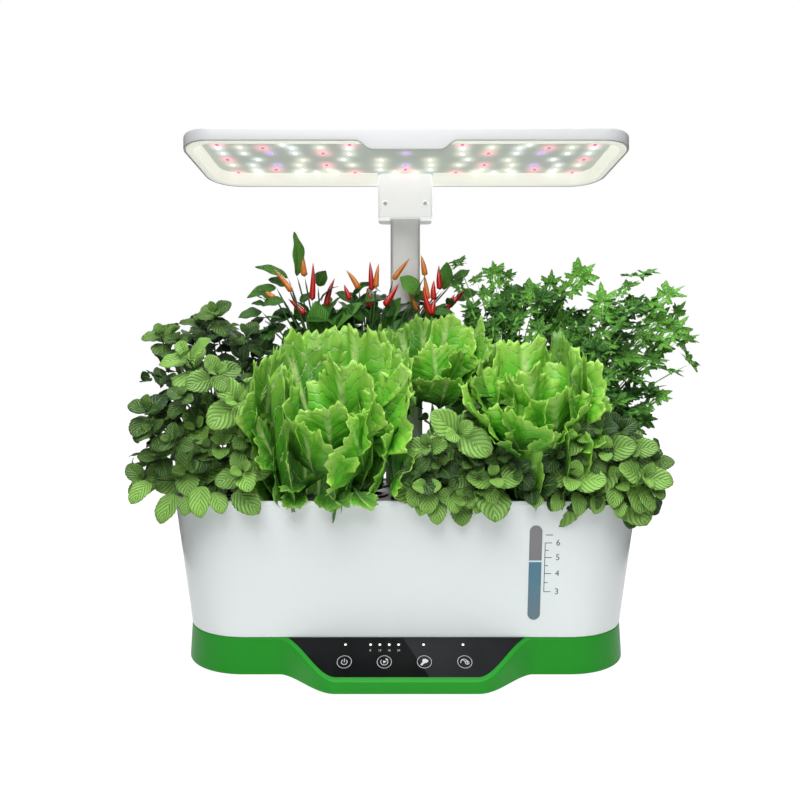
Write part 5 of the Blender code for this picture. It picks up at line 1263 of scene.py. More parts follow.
class GROW_OT_lamp(bpy.types.Operator):
    """Lamp shell with its grip, reflector frame, and the board with its lights"""

    bl_idname = "grow.lamp"
    bl_label = "Lamp"

    def execute(self, context):
        lamp = settings("lamp")
        self.rim = FRAME_LOW.z
        self.plane = BOARD_HIGH.z - 1.6 * MM
        self.shell(lamp)
        self.reflector(lamp)
        self.board(lamp)
        return {"FINISHED"}

    def outline(self, inset, lamp):
        """The lamp in plan less an inset. Its corner never gets smaller than 0.4 of the depth left."""
        half_y = (SHELL_HIGH.y - SHELL_LOW.y) / 2 - inset
        corner = max(lamp.corner - inset, half_y * 0.4)
        return rounded_outline(SHELL_HIGH.x - inset, SHELL_LOW.y + inset, SHELL_HIGH.y - inset, corner)

    def shell(self, lamp):
        """Even-walled cover. The lower edge drops along the front's middle by an S-curve to make the grip."""
        soft, wall, side = 0.8 * MM, 2.2 * MM, self.rim + 12.6 * MM
        top = SHELL_HIGH.z - side
        dome = np.linspace(0, 1, 12) ** 1.4
        outside = [(1.5 * MM + 46.5 * MM * share, side + top * (1 - (1 - share) ** 2.8)) for share in dome]
        inside = [(inset + wall, z - 2.4 * MM) for inset, z in outside[::-1]]
        lower = [(wall, side - 6 * MM), (wall, self.rim), (0, self.rim), (0, side - 6 * MM), (0, side - 1.0 * MM)]
        profile = softened(inside + lower + outside, soft)
        rings = []
        for inset, z in profile:
            ring = at_height(self.outline(inset, lamp), z)
            dip = smooth_step((46.8 * MM - np.abs(ring[:, 0])) / (13.2 * MM)) * 9.0 * MM
            front = ring[:, 1] < SHELL_LOW.y + inset + 0.1 * MM
            near = np.clip((side - 6 * MM - z) / (side - 6 * MM - self.rim), 0, 1)
            ring[:, 2] -= dip * front * near
            rings.append(ring)
        shell = skin("lamp_cover", rings, moulded("lamp_cover_painted_shade", lamp.cover, 0.34, 0.03), "lamp", 30)
        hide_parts("lamp_shell")

    def reflector(self, lamp):
        """White frame: a flat face at the rim, then a wall that slants up to the board."""
        high = self.plane - 0.3 * MM
        profile = [(2.5 * MM, self.rim + 1.6 * MM), (2.5 * MM, self.rim), (lamp.face, self.rim), (lamp.face + lamp.slope, high)]
        profile += [(lamp.face + lamp.slope - 1.6 * MM, high), (lamp.face - 0.8 * MM, self.rim + 1.6 * MM), (2.5 * MM, self.rim + 1.6 * MM)]
        profile = softened(profile, 0.5 * MM)
        rings = [at_height(self.outline(inset, lamp), z) for inset, z in profile]
        # The frame glows with painted light, which stands in for the chips' light falling back on it.
        frame_piece = skin("reflector", rings, moulded("reflector_cream_painted_light", lamp.cream, 0.38, 0.02, glow=lamp.painted_bounce), "lamp", 30, caps=False)
        low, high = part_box("bracket_front")[0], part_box("bracket_back")[1]
        cut(frame_piece, (low.x - 0.2 * MM, low.y - 3.2 * MM, self.rim - 5 * MM), (high.x + 0.2 * MM, high.y + 0.2 * MM, SHELL_HIGH.z))
        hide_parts("lamp_frame")

    def spots(self):
        """Places and kinds of the lights: an array of x, y, and an array of indices into their colours."""
        studio = settings("studio")
        scale = studio.lens / SENSOR_WIDTH * PHOTO_WIDTH
        places, kinds = [], []
        for kind, table in enumerate((COOL_LIGHTS, WARM_LIGHTS)):
            across, down = np.array(table).T
            reach = (self.plane - studio.camera_place[2]) * scale / (PHOTO_MIDDLE - down)
            x, y = (across - PHOTO_MIDDLE) * reach / scale + studio.camera_place[0], reach + studio.camera_place[1]
            places += [np.column_stack([x, y]), np.column_stack([-x, y])]
            kinds += [np.full(2 * len(x), kind)]
        for kind, table in ((2, RED_LIGHTS), (3, BLUE_LIGHTS)):
            x, y = np.array(table).T * MM
            far = x > 0
            places += [np.column_stack([x, y]), np.column_stack([-x, y])[far]]
            kinds += [np.full(len(x) + far.sum(), kind)]
        return np.concatenate(places), np.concatenate(kinds)

    def board(self, lamp):
        """The board's underside is a fine grid, whose attribute of painted light sums a Gaussian pool of each light."""
        places, kinds = self.spots()
        tints = np.array(LIGHT_COLOURS)[kinds]
        half_x, low, high = BOARD_HIGH.x, BOARD_LOW.y, BOARD_HIGH.y
        corner, half_y, middle = 20 * MM, (high - low) / 2, (high + low) / 2
        v = np.linspace(-1, 1, 90)[:, None]
        over = np.clip(np.abs(v) * half_y - (half_y - corner), 0, corner)
        width = half_x - corner + np.sqrt(np.maximum(corner**2 - over**2, 0))
        x = np.linspace(-1, 1, 320)[None] * width
        y = middle + v * half_y + 0 * x
        sheet = np.stack([x, y, np.full(x.shape, self.plane)], -1)
        surfaces = Surfaces()
        surfaces.add(sheet)
        surfaces.add(sheet[:, ::-1] + [0, 0, 1.6 * MM])
        board = surfaces.piece("light_board", [lamp_board_finish("light_board", lamp.board, lamp.glow)], "lamp")
        flat = np.concatenate([sheet.reshape(-1, 3), sheet.reshape(-1, 3)])[:, :2]
        # Painted light: a faint glow over the whole board, and a pool of light round each chip.
        spill = np.full((len(flat), 4), 0.10)
        spill[:, 3] = 1
        for place, tint, kind in zip(places, tints, kinds):
            far = ((flat - place) ** 2).sum(1)
            wide, strong = ((6 * MM, 0.60), (7 * MM, 0.55), (8 * MM, 0.75), (6 * MM, 0.5))[kind]
            spill[:, :3] += (tint * 0.7 + 0.3) * (strong * np.exp(-far / wide**2))[:, None]
        layer = board.data.attributes.new("spill", "FLOAT_COLOR", "POINT")
        layer.data.foreach_set("color", spill.astype(np.float32).ravel())
        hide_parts("led_board")
        self.chips(lamp, places, kinds)

    def chips(self, lamp, places, kinds):
        """A small lit block for each light."""
        half = lamp.chip / 2
        square = np.array([[-1, -1], [1, -1], [1, 1], [-1, 1]]) * half
        levels = np.array([(1.0, 0.0), (1.0, -0.6 * MM), (0.85, -0.8 * MM), (0.01, -0.8 * MM)])
        blocks = Surfaces()
        for kind in range(4):
            chosen = places[kinds == kind]
            grid = np.empty((len(chosen), 4, 4, 3))
            grid[..., :2] = chosen[:, None, None] + square * levels[:, 0][None, :, None, None]
            grid[..., 2] = self.plane + levels[:, 1][None, :, None]
            blocks.add(grid, 0.5, kind, closed=True)
        finishes = [shining(f"light_{kind}", tint, lamp.shine) for kind, tint in enumerate(LIGHT_COLOURS)]
        piece = blocks.piece("lights", finishes, "lamp", 30)


# Where leaves sit: pixels across and down in the photograph. Shoots: centre, size in millimetres, painted light and
# shade.
MINT_LEFT_SHOOTS = ((185, 355, 25, 0.85), (196, 426, 21, 0.8), (187, 470, 25, 0.75), (222, 443, 20, 0.75), (242, 470, 21, 0.8),
                    (216, 372, 20, 0.7), (236, 400, 25, 0.9), (145, 408, 19, 0.25), (165, 416, 19, 0.6), (181, 396, 15, 0.3),
                    (157, 452, 17, 0.45), (141, 478, 17, 0.6), (206, 402, 16, 0.35), (170, 440, 15, 0.35), (218, 470, 17, 0.45),
                    (205, 448, 14, 0.3), (150, 430, 14, 0.4), (247, 437, 18, 0.5))
MINT_REAR_SHOOTS = ((160, 334, 19, 0.45), (200, 324, 21, 0.4), (214, 312, 18, 0.5), (214, 340, 17, 0.3), (246, 333, 20, 0.35),
                    (265, 350, 20, 0.15), (240, 356, 19, 0.25), (193, 345, 17, 0.2), (225, 330, 16, 0.35), (176, 340, 16, 0.3),
                    (250, 372, 18, 0.2), (228, 384, 16, 0.2))
MINT_CENTRE_SHOOTS = ((427, 487, 25, 0.95), (459, 433, 29, 0.95), (461, 498, 18, 0.85), (494, 477, 25, 0.95), (470, 463, 18, 0.3),
                      (449, 481, 17, 0.1), (428, 447, 20, 0.6), (440, 465, 17, 0.15), (480, 452, 18, 0.1), (500, 455, 17, 0.1),
                      (413, 470, 17, 0.1), (478, 488, 17, 0.25), (445, 448, 17, 0.2))
MINT_RIGHT_SHOOTS = ((573, 477, 29, 0.95), (579, 435, 25, 0.9), (605, 451, 24, 0.85), (619, 481, 29, 0.95), (645, 476, 22, 0.85),
                     (633, 449, 21, 0.6), (600, 428, 17, 0.15), (595, 492, 16, 0.25), (655, 462, 17, 0.3), (590, 460, 16, 0.1),
                     (556, 455, 17, 0.1), (545, 478, 20, 0.5), (530, 486, 17, 0.15), (622, 430, 16, 0.1), (634, 500, 16, 0.4),
                     (560, 495, 16, 0.2), (515, 470, 16, 0.1))
# Single leaves that hang over the rim: base and tip.
MINT_LEFT_HANGING = ((201, 486, 201, 518), (176, 494, 160, 524), (236, 490, 259, 514), (150, 482, 131, 504), (214, 492, 222, 514), (190, 496, 184, 516))
MINT_CENTRE_HANGING = ((415, 486, 412, 508), (437, 498, 437, 525), (452, 490, 455, 514), (465, 488, 472, 508), (489, 484, 493, 506), (480, 496, 476, 514), (426, 496, 420, 516))
MINT_RIGHT_HANGING = ((577, 492, 577, 516), (615, 486, 612, 508), (617, 498, 619, 518), (642, 490, 652, 512), (652, 484, 663, 500), (598, 496, 594, 514), (560, 494, 552, 511), (538, 492, 534, 508))
# Pepper leaves: base, tip, width in pixels and painted light and shade. Chillies: base, tip, width and ripeness.
PEPPER_LEAVES = ((297, 276, 294, 232, 15.5, 0.95), (288, 278, 255, 267, 11, 0.8), (276, 287, 247, 298, 11, 0.6), (288, 286, 268, 280, 12, 0.25),
                 (318, 286, 326, 271, 13, 0.2), (318, 338, 316, 301, 20, 0.75), (326, 334, 364, 302, 16, 0.7), (364, 306, 335, 293, 14, 0.2),
                 (368, 332, 378, 302, 12, 0.4), (383, 328, 401, 298, 15, 0.6), (420, 294, 400, 277, 16, 0.9), (396, 321, 418, 311, 13, 0.25),
                 (262, 312, 238, 318, 13, 0.3), (292, 312, 270, 322, 14, 0.3), (300, 330, 282, 344, 15, 0.3), (342, 318, 352, 338, 14, 0.3),
                 (352, 320, 372, 312, 13, 0.35), (408, 320, 392, 336, 13, 0.3), (430, 322, 448, 304, 13, 0.35), (284, 300, 262, 306, 12, 0.3),
                 (334, 322, 322, 304, 14, 0.35), (306, 322, 296, 302, 14, 0.45), (286, 326, 262, 334, 15, 0.25), (272, 330, 256, 352, 16, 0.2),
                 (444, 290, 447, 262, 12, 0.7), (452, 284, 470, 270, 12, 0.6), (455, 300, 478, 292, 13, 0.4), (440, 308, 424, 322, 12, 0.3),
                 (360, 330, 350, 352, 13, 0.25), (388, 344, 374, 356, 13, 0.2), (320, 352, 306, 366, 14, 0.2), (414, 302, 428, 292, 11, 0.4))
CHILLIES = ((304.7, 277, 301, 247, 7, 0.35), (312, 301, 313, 262, 6.5, 0.9), (292, 292, 274, 269, 6.5, 0.3), (275, 298, 259, 290, 6.5, 0.25),
            (305, 315, 288, 299, 7, 0.85), (326, 307, 335, 278, 6.5, 0.85), (359, 289, 346, 270, 6.5, 0.3), (372, 291, 370, 261, 6.5, 0.9),
            (376, 288, 379, 263, 6, 0.4), (370.6, 307, 367, 288, 6.5, 0.95), (393, 280, 410, 258, 6, 0.3), (384, 306, 399, 283, 7, 0.85),
            (419, 311, 408, 286, 6.5, 0.35), (425, 276, 421, 255, 6.5, 0.4), (431.5, 315, 423, 286, 6.5, 0.9), (431.5, 315, 435, 298, 6.5, 0.9),
            (428, 300, 424, 274, 6, 0.4), (440, 290, 439, 265, 6.5, 0.85), (434, 300, 434, 280, 6.5, 0.9), (446, 312, 455, 294, 6, 0.9),
            (452, 304, 466, 290, 5.5, 0.85), (350, 300, 344, 284, 6, 0.9))
# Lettuce leaves: base, tip, size share of width, depth of base and tip in millimetres, painted light and shade.
LETTUCE_LEFT = ((274, 469, 276, 362, 0.62, -62, -70, 0.55), (311, 472, 293, 376, 0.62, -68, -86, 0.6), (318, 440, 316, 335, 0.66, -36, -30, 0.6),
                (345, 440, 352, 333, 0.66, -34, -28, 0.65), (365, 440, 377, 342, 0.6, -36, -34, 0.6), (352, 462, 398, 378, 0.7, -46, -66, 0.7),
                (335, 460, 339, 366, 0.75, -52, -62, 0.8), (350, 462, 366, 392, 0.72, -60, -84, 0.85), (334, 462, 326, 408, 0.85, -66, -98, 0.9),
                (362, 476, 348, 424, 0.95, -72, -106, 0.85), (320, 480, 306, 426, 0.9, -72, -104, 0.8), (380, 478, 384, 440, 0.9, -66, -98, 0.75),
                (384, 482, 410, 452, 0.85, -66, -92, 0.7), (292, 474, 260, 424, 0.7, -66, -84, 0.5), (308, 478, 283, 490, 0.5, -80, -102, 0.45),
                (322, 484, 342, 506, 0.6, -80, -106, 0.35), (352, 484, 372, 507, 0.5, -80, -102, 0.55), (304, 484, 288, 507, 0.5, -80, -102, 0.5),
                (325, 450, 290, 350, 0.6, -44, -44, 0.35), (340, 452, 392, 352, 0.6, -36, -40, 0.4), (272, 462, 262, 392, 0.6, -56, -60, 0.3),
                (352, 494, 394, 460, 0.62, -56, -44, 0.10), (300, 496, 262, 466, 0.62, -56, -44, 0.10), (330, 498, 360, 470, 0.62, -62, -56, 0.06))
LETTUCE_MIDDLE = ((430, 392, 447, 320, 0.72, 6, 4, 0.85), (440, 396, 474, 326, 0.65, 0, 2, 0.5), (432, 398, 459, 350, 0.75, -10, -34, 0.75),
                  (418, 396, 388, 346, 0.62, -6, -18, 0.65), (424, 400, 402, 330, 0.62, 6, 10, 0.45), (436, 402, 433, 346, 0.7, -12, -28, 0.8),
                  (440, 412, 486, 352, 0.55, -16, -34, 0.5), (425, 410, 396, 376, 0.7, -26, -48, 0.6), (438, 412, 446, 378, 0.8, -26, -54, 0.7),
                  (424, 396, 424, 322, 0.6, 12, 16, 0.4), (452, 410, 470, 380, 0.7, -24, -46, 0.45), (412, 404, 384, 330, 0.5, 2, 8, 0.35))
LETTUCE_RIGHT = ((533, 440, 527, 344, 0.72, -44, -36, 0.85), (548, 440, 579, 358, 0.7, -46, -58, 0.75), (540, 446, 514, 380, 0.78, -56, -78, 0.8),
                 (520, 440, 482, 368, 0.62, -48, -58, 0.4), (554, 446, 550, 396, 0.95, -64, -94, 0.9), (552, 448, 582, 404, 0.85, -60, -88, 0.8),
                 (520, 456, 466, 388, 0.55, -70, -84, 0.85), (530, 458, 503, 410, 0.8, -72, -98, 0.75), (548, 456, 556, 432, 1.0, -80, -104, 0.6),
                 (545, 440, 600, 392, 0.6, -44, -50, 0.5), (530, 440, 502, 348, 0.55, -36, -34, 0.45), (548, 440, 556, 350, 0.6, -34, -28, 0.55),
                 (538, 446, 534, 372, 0.8, -54, -66, 0.85), (556, 450, 600, 420, 0.75, -64, -80, 0.55), (520, 458, 486, 430, 0.8, -76, -94, 0.45))
# Parsley leaves: middle across and down, size in millimetres, depth in millimetres, painted light and shade.
PARSLEY_REAR_LEAVES = ((457, 262, 13, 30, 0.5), (494, 270, 16, 20, 0.9), (513, 290, 16, 22, 0.2), (484, 292, 16, 16, 0.6), (534, 287, 15, 10, 0.8),
                       (584, 272, 21, 10, 0.95), (500, 304, 16, 14, 0.4), (470, 306, 15, 20, 0.3), (546, 302, 18, 4, 0.6), (520, 312, 16, 6, 0.5),
                       (562, 292, 16, 14, 0.45), (456, 282, 12, 30, 0.4), (492, 322, 16, 0, 0.35), (540, 326, 16, -4, 0.6), (566, 316, 17, 0, 0.5),
                       (476, 278, 12, 24, 0.6), (552, 280, 14, 16, 0.7), (508, 274, 12, 26, 0.4), (570, 336, 17, -8, 0.5), (528, 298, 14, 12, 0.4))
PARSLEY_RIGHT_LEAVES = ((602, 297, 20, 0, 0.9), (648, 274, 18, 12, 0.55), (671, 291, 20, 0, 0.85), (678, 328, 20, -6, 0.75), (661, 318, 18, 2, 0.6),
                        (688, 356, 18, -8, 0.5), (672, 372, 17, -12, 0.45), (634, 300, 17, 6, 0.6), (620, 322, 19, -4, 0.7), (646, 336, 18, 0, 0.55),
                        (604, 344, 19, -10, 0.65), (632, 358, 19, -10, 0.6), (656, 356, 17, -6, 0.5), (588, 320, 17, -4, 0.4), (612, 372, 18, -18, 0.55),
                        (640, 382, 18, -16, 0.45), (660, 394, 16, -14, 0.45), (596, 392, 16, -22, 0.4), (622, 402, 17, -22, 0.45), (644, 410, 15, -18, 0.35),
                        (584, 352, 17, -14, 0.5), (630, 284, 14, 10, 0.7), (614, 310, 15, 4, 0.6), (690, 338, 13, -4, 0.6), (606, 418, 15, -26, 0.4),
                        (634, 426, 15, -24, 0.35), (586, 374, 15, -20, 0.35), (654, 304, 14, 8, 0.5), (680, 310, 13, 0, 0.7), (664, 344, 15, -2, 0.5))


def towards_camera(point):
    """Direction from a point to the camera."""
    return unit(np.array(settings("studio").camera_place) - point)


def shoots(leaves, stalks, table, depth, spread, root, draws, pairs=3):
    """Mint shoots from a table. Their axes look up and out, more towards the camera in the middle."""
    for across, down, size, tone in table:
        tip = photo_place(across, down, depth + draws.uniform(-spread, spread))
        out = (tip - root) * [1.0, 1.0, 0.35]
        axis = unit(unit(out) * 0.55 + towards_camera(tip) * draws.uniform(0.45, 0.95) + [draws.normal(0, 0.22), 0, draws.uniform(0.15, 0.6)])
        sprig(leaves, stalks, root, tip, axis, size * MM, draws.uniform(0, math.pi), pairs, tone, draws)


def hanging(leaves, stalks, table, depth, root, draws, tone=0.75):
    """Single mint leaves that hang over the rim."""
    for across, down, tip_across, tip_down in table:
        base = photo_place(across, down, depth + 8 * MM)
        tip = photo_place(tip_across, tip_down, depth - 4 * MM)
        face = unit(np.array([draws.normal(0, 0.25), -1.0, 0.55]))
        handle = (base + tip) / 2 + face * 3 * MM
        leaves.add(base, handle, tip, face, np.linalg.norm(tip - base) * 0.36, draws.uniform(0.05, 0.3), tone + draws.normal(0, 0.08))
        stalks.append(curve(root, (root + base) / 2 + np.array([0, 0, 15 * MM]), base, np.linspace(0, 1, 12)))


def thicket(leaves, across, down, depth, count, size, tone, root, draws, shape=0.62):
    """Fills a plant's own space behind its named leaves with darker ones, painted shade in the depth of the plant, that
    look every way, mostly up.
    """
    for _ in range(count):
        place = photo_place(draws.uniform(*across), draws.uniform(*down), draws.uniform(*depth))
        out = (place - root) * [1.0, 1.0, 0.2]
        aim = unit(unit(out) * 0.6 + draws.normal(0, 0.6, 3) + [0, 0, 0.15])
        face = unit(np.array([0, -0.35, 0.9]) + draws.normal(0, 0.35, 3))
        face = unit(face - aim * np.dot(face, aim))
        leaf_along(leaves, place, aim, face, draws.uniform(*size) * MM, shape, draws.uniform(0.2, 0.8), draws.uniform(0.05, 0.35), tone + draws.normal(0, 0.08))


def bush(leaves, node, count, size, tone, root, draws, shape=0.62, front=-0.25):
    """Leaves all over a plant's own crown, which the box of its node gives: each lies near the skin of the
    half ellipsoid that fills the box, looks outwards and up, and hangs from a point nearer the root."""
    low, high = (np.array(corner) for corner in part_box(node))
    middle = np.array([(low[0] + high[0]) / 2, (low[1] + high[1]) / 2, low[2] + (high[2] - low[2]) * 0.45])
    reach = np.array([(high[0] - low[0]) / 2, (high[1] - low[1]) / 2, (high[2] - low[2]) * 0.55])
    made = 0
    while made < count:
        way = unit(draws.normal(0, 1, 3))
        if way[1] < front or way[2] < -0.45:
            continue
        made += 1
        place = middle + reach * way * draws.uniform(0.45, 0.82)
        outward = unit(way / reach)
        face = unit(outward + [0, 0, 0.5] + draws.normal(0, 0.35, 3))
        aim = unit(np.array([0, 0, draws.uniform(-0.6, 0.7)]) + draws.normal(0, 0.5, 3) + outward * 0.4)
        aim = unit(aim - face * np.dot(face, aim))
        leaf_along(leaves, place - aim * size[0] * 0.5 * MM, aim, face, draws.uniform(*size) * MM, shape,
                   draws.uniform(0.2, 0.8), draws.uniform(0.05, 0.35), tone + draws.normal(0, 0.12))


class GROW_OT_mint(bpy.types.Operator):
    """Four mint plants of crossed leaf pairs"""

    bl_idname = "grow.mint"
    bl_label = "Mint"

    def execute(self, context):
        plants = settings("plants")
        vein = [part * 1.25 for part in plants.mint]
        finish = leaf_finish("mint_leaf", plants.mint, plants.mint_dark, vein, 6.0, 0.5, 0.48, 0.30, pale=0.30)
        stem = moulded("mint_stem", plants.stem, 0.6, 0.1)
        self.plant("mint_front_left", 1, MINT_LEFT_SHOOTS, MINT_LEFT_HANGING, -80, 18, ((150, 255), (370, 490), (-64, -20), 90), finish, stem, 3)
        self.plant("mint_rear_left", 2, MINT_REAR_SHOOTS, (), 22, 18, ((165, 275), (320, 410), (-10, 60), 60), finish, stem, 5)
        self.plant("mint_front_centre", 7, MINT_CENTRE_SHOOTS, MINT_CENTRE_HANGING, -94, 6, ((404, 505), (396, 495), (-74, -46), 60), finish, stem, 7)
        self.plant("mint_front_right", 11, MINT_RIGHT_SHOOTS, MINT_RIGHT_HANGING, -88, 9, ((520, 655), (425, 495), (-66, -36), 50), finish, stem, 9)
        return {"FINISHED"}

    def plant(self, node, number, table, hangers, depth, spread, gaps, finish, stem, seed):
        """One plant: shoots and hanging leaves on stalks from its pod, and filling."""
        draws = np.random.default_rng(settings("plants").seed + seed)
        leaves, stalks, root = Leaves(), [], pod(number)
        shoots(leaves, stalks, table, depth * MM, spread * MM, root, draws)
        hanging(leaves, stalks, hangers, -94 * MM, root, draws)
        across, down, deep, count = gaps
        # The filling leaves are nearly black: painted shade inside the plant.
        thicket(leaves, across, down, np.array(deep) * MM, count, (15, 24), 0.04, root, draws)
        bush(leaves, node, 90, (12, 20), 0.12, root, draws, front=0.15 if hangers else -0.25)

        def form(count, width, fold):
            return plain_leaf(count, width, 17, 9, (0.88, 0.58), fold, draws, teeth=8, puff=0.06, wave=0.06)

        plant_piece(node + "_leaves", node, leaves, form, finish, settings("plants").thickness, stalks, 0.9 * MM, stem)


class GROW_OT_lettuce(bpy.types.Operator):
    """Three heads of lettuce with frilled leaves"""

    bl_idname = "grow.lettuce"
    bl_label = "Lettuce"

    def execute(self, context):
        plants = settings("plants")
        finish = leaf_finish("lettuce_leaf", plants.lettuce, plants.lettuce_dark, plants.lettuce_vein, 6.5, 0.9, 0.40, 0.34,
                             plants.lettuce_edge, 0.75, fan=True)
        self.head("lettuce_left", 3, LETTUCE_LEFT, (330, 468), 13, finish)
        self.head("lettuce_middle", 8, LETTUCE_MIDDLE, (432, 402), 17, finish)
        self.head("lettuce_right", 9, LETTUCE_RIGHT, (538, 450), 19, finish)
        return {"FINISHED"}

    def head(self, node, number, table, heart, seed, finish):
        """A head: its leaves run from near the heart out to named tips, cupped and frilled."""
        draws = np.random.default_rng(settings("plants").seed + seed)
        leaves, root = Leaves(), pod(number)
        middle = photo_place(*heart, 0.5 * (table[0][5] + table[8][5]) * MM)
        for across, down, tip_across, tip_down, width, base_depth, tip_depth, tone in table:
            base = photo_place(across, down, base_depth * MM)
            tip = photo_place(tip_across, tip_down, tip_depth * MM)
            reach = np.linalg.norm(tip - base)
            out = unit(((tip + base) / 2 - middle) * [1, 1, 0])
            lying = tip_down > 485
            face = unit(np.array([0, -0.4 if lying else -0.45 * abs(out[0]), 0.5 + 0.5 * lying]) - out * 0.9 * (1 - lying) + draws.normal(0, 0.12, 3))
            handle = base + (tip - base) * 0.5 - face * reach * 0.24
            leaves.add(base, handle, tip + face * reach * 0.02, face, reach * max(width, 0.5) * 1.25, 0.78 + width * 0.25, tone)
        self.outer(leaves, node, 14, draws)
        stalks = [curve(root, root + [0, 0, 12 * MM], photo_place(*heart, table[0][5] * MM), np.linspace(0, 1, 8))]

        def form(count, width, fold):
            return frilled_leaf(count, width, fold, 22, 61, draws)

        plant_piece(node + "_leaves", node, leaves, form, finish, settings("plants").thickness, stalks, 5 * MM, finish)


    def outer(self, leaves, node, count, draws):
        """Broad leaves round the sides and back of the head, and a whorl inside it in painted shade."""
        low, high = (np.array(corner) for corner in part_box(node))
        middle, reach = (low + high) / 2, (high - low) / 2
        foot = np.array([middle[0], middle[1], low[2] + 6 * MM])
        for ring, (lean, tone) in enumerate(((0.85, 0.55), (0.45, 0.35))):
            for index in range(count):
                angle = 2 * math.pi * (index + 0.5 * ring) / count + draws.normal(0, 0.08)
                out = np.array([math.cos(angle), math.sin(angle), 0])
                if out[1] < 0.15 - 0.5 * ring:
                    continue
                if abs(middle[0] + reach[0] * out[0] * lean * 0.6) < 48 * MM and middle[1] + reach[1] * out[1] * lean > 0:
                    continue
                tip = middle + reach * out * lean + [0, 0, reach[2] * draws.uniform(-0.1, 0.7)]
                base = foot + out * 8 * MM
                run = np.linalg.norm(tip - base)
                face = unit(np.array([0, 0, 0.6]) - out * 0.6)
                handle = (base + tip) / 2 - face * run * 0.25
                leaves.add(base, handle, tip, face, run * 0.42, 0.95, tone + draws.normal(0, 0.08))


class GROW_OT_peppers(bpy.types.Operator):
    """Two chilli plants with upright fruit"""

    bl_idname = "grow.peppers"
    bl_label = "Chilli plants"

    def execute(self, context):
        plants = settings("plants")
        finish = leaf_finish("pepper_leaf", plants.pepper, plants.pepper_dark, [part * 1.5 for part in plants.pepper], 6.0, 0.8, 0.34, 0.5, pale=0.4)
        fruit = fruit_finish("chilli", plants.chilli_red, plants.chilli_orange)
        stem = moulded("pepper_stem", plants.stem, 0.5, 0.1)
        self.plant("pepper_left", 4, 0, 340, finish, fruit, stem, 23)
        self.plant("pepper_right", 6, 340, 800, finish, fruit, stem, 29)
        return {"FINISHED"}

    def plant(self, node, number, left, right, finish, fruit, stem, seed):
        """One plant: the leaves and fruit whose bases lie between two columns of the photograph."""
        draws = np.random.default_rng(settings("plants").seed + seed)
        leaves, stalks, pods, root = Leaves(), [], [], pod(number)
        crown = root + np.array([0.02 * (1 if node.endswith("left") else -0.3), 0.012, 0.11])
        stalks.append(curve(root, root + [0, 0, 0.06], crown, np.linspace(0, 1, 12)))
        for across, down, tip_across, tip_down, width, tone in PEPPER_LEAVES:
            if not left <= across < right:
                continue
            depth = 52 * MM + draws.uniform(-16, 14) * MM
            base, tip = photo_place(across, down, depth), photo_place(tip_across, tip_down, depth - draws.uniform(4, 16) * MM)
            face = unit(towards_camera(base) * 0.7 + [draws.normal(0, 0.3), 0, 0.7])
            handle = (base + tip) / 2 + face * 0.14 * np.linalg.norm(tip - base)
            leaves.add(base, handle, tip, face, width * 1.35 * MM / 2, draws.uniform(0.05, 0.25), tone)
            stalks.append(curve(crown, (crown + base) / 2 + [0, 0, 0.008], base, np.linspace(0, 1, 12)))
        # Filling leaves: the crown in middling painted light, and the thicket behind the named leaves darker, painted
        # shade inside the plant.
        bush(leaves, node, 70, (26, 44), 0.55, root, draws, 0.5)
        span = (left or 262, min(right, 450))
        thicket(leaves, span, (300, 372), np.array([30, 66]) * MM, 46, (18, 30), 0.16, root, draws, 0.5)
        for across, down, tip_across, tip_down, width, ripe in CHILLIES:
            if not left <= across < right:
                continue
            depth = 36 * MM + draws.uniform(-8, 4) * MM
            base, tip = photo_place(across, down, depth), photo_place(tip_across, tip_down, depth)
            side = unit(np.cross(tip - base, [0, 1, 0])) * np.linalg.norm(tip - base) * draws.uniform(-0.10, 0.10)
            share = np.linspace(0, 1, 14)
            path = curve(base, (base + tip) / 2 + side, tip, share)
            radius = width * 0.52 * MM * np.sqrt(np.clip(share / 0.08, 0, 1)) * (1.01 - share**2.4)
            pods.append((path, radius, ripe))
            stalks.append(curve(crown, (crown + base) / 2 + [0, 0, 0.006], base, np.linspace(0, 1, 12)))

        def form(count, width, fold):
            return plain_leaf(count, width, 17, 9, (0.80, 0.85), fold, draws, puff=0.04, wave=0.08)

        plant_piece(node + "_leaves", node, leaves, form, finish, settings("plants").thickness, stalks, 0.9 * MM, stem)
        grids = Surfaces()
        for path, radius, ripe in pods:
            grids.add(tubes(path[None], radius[None], 12), ripe, closed=True)
        piece = grids.piece(node + "_chillies", [fruit], "deck")


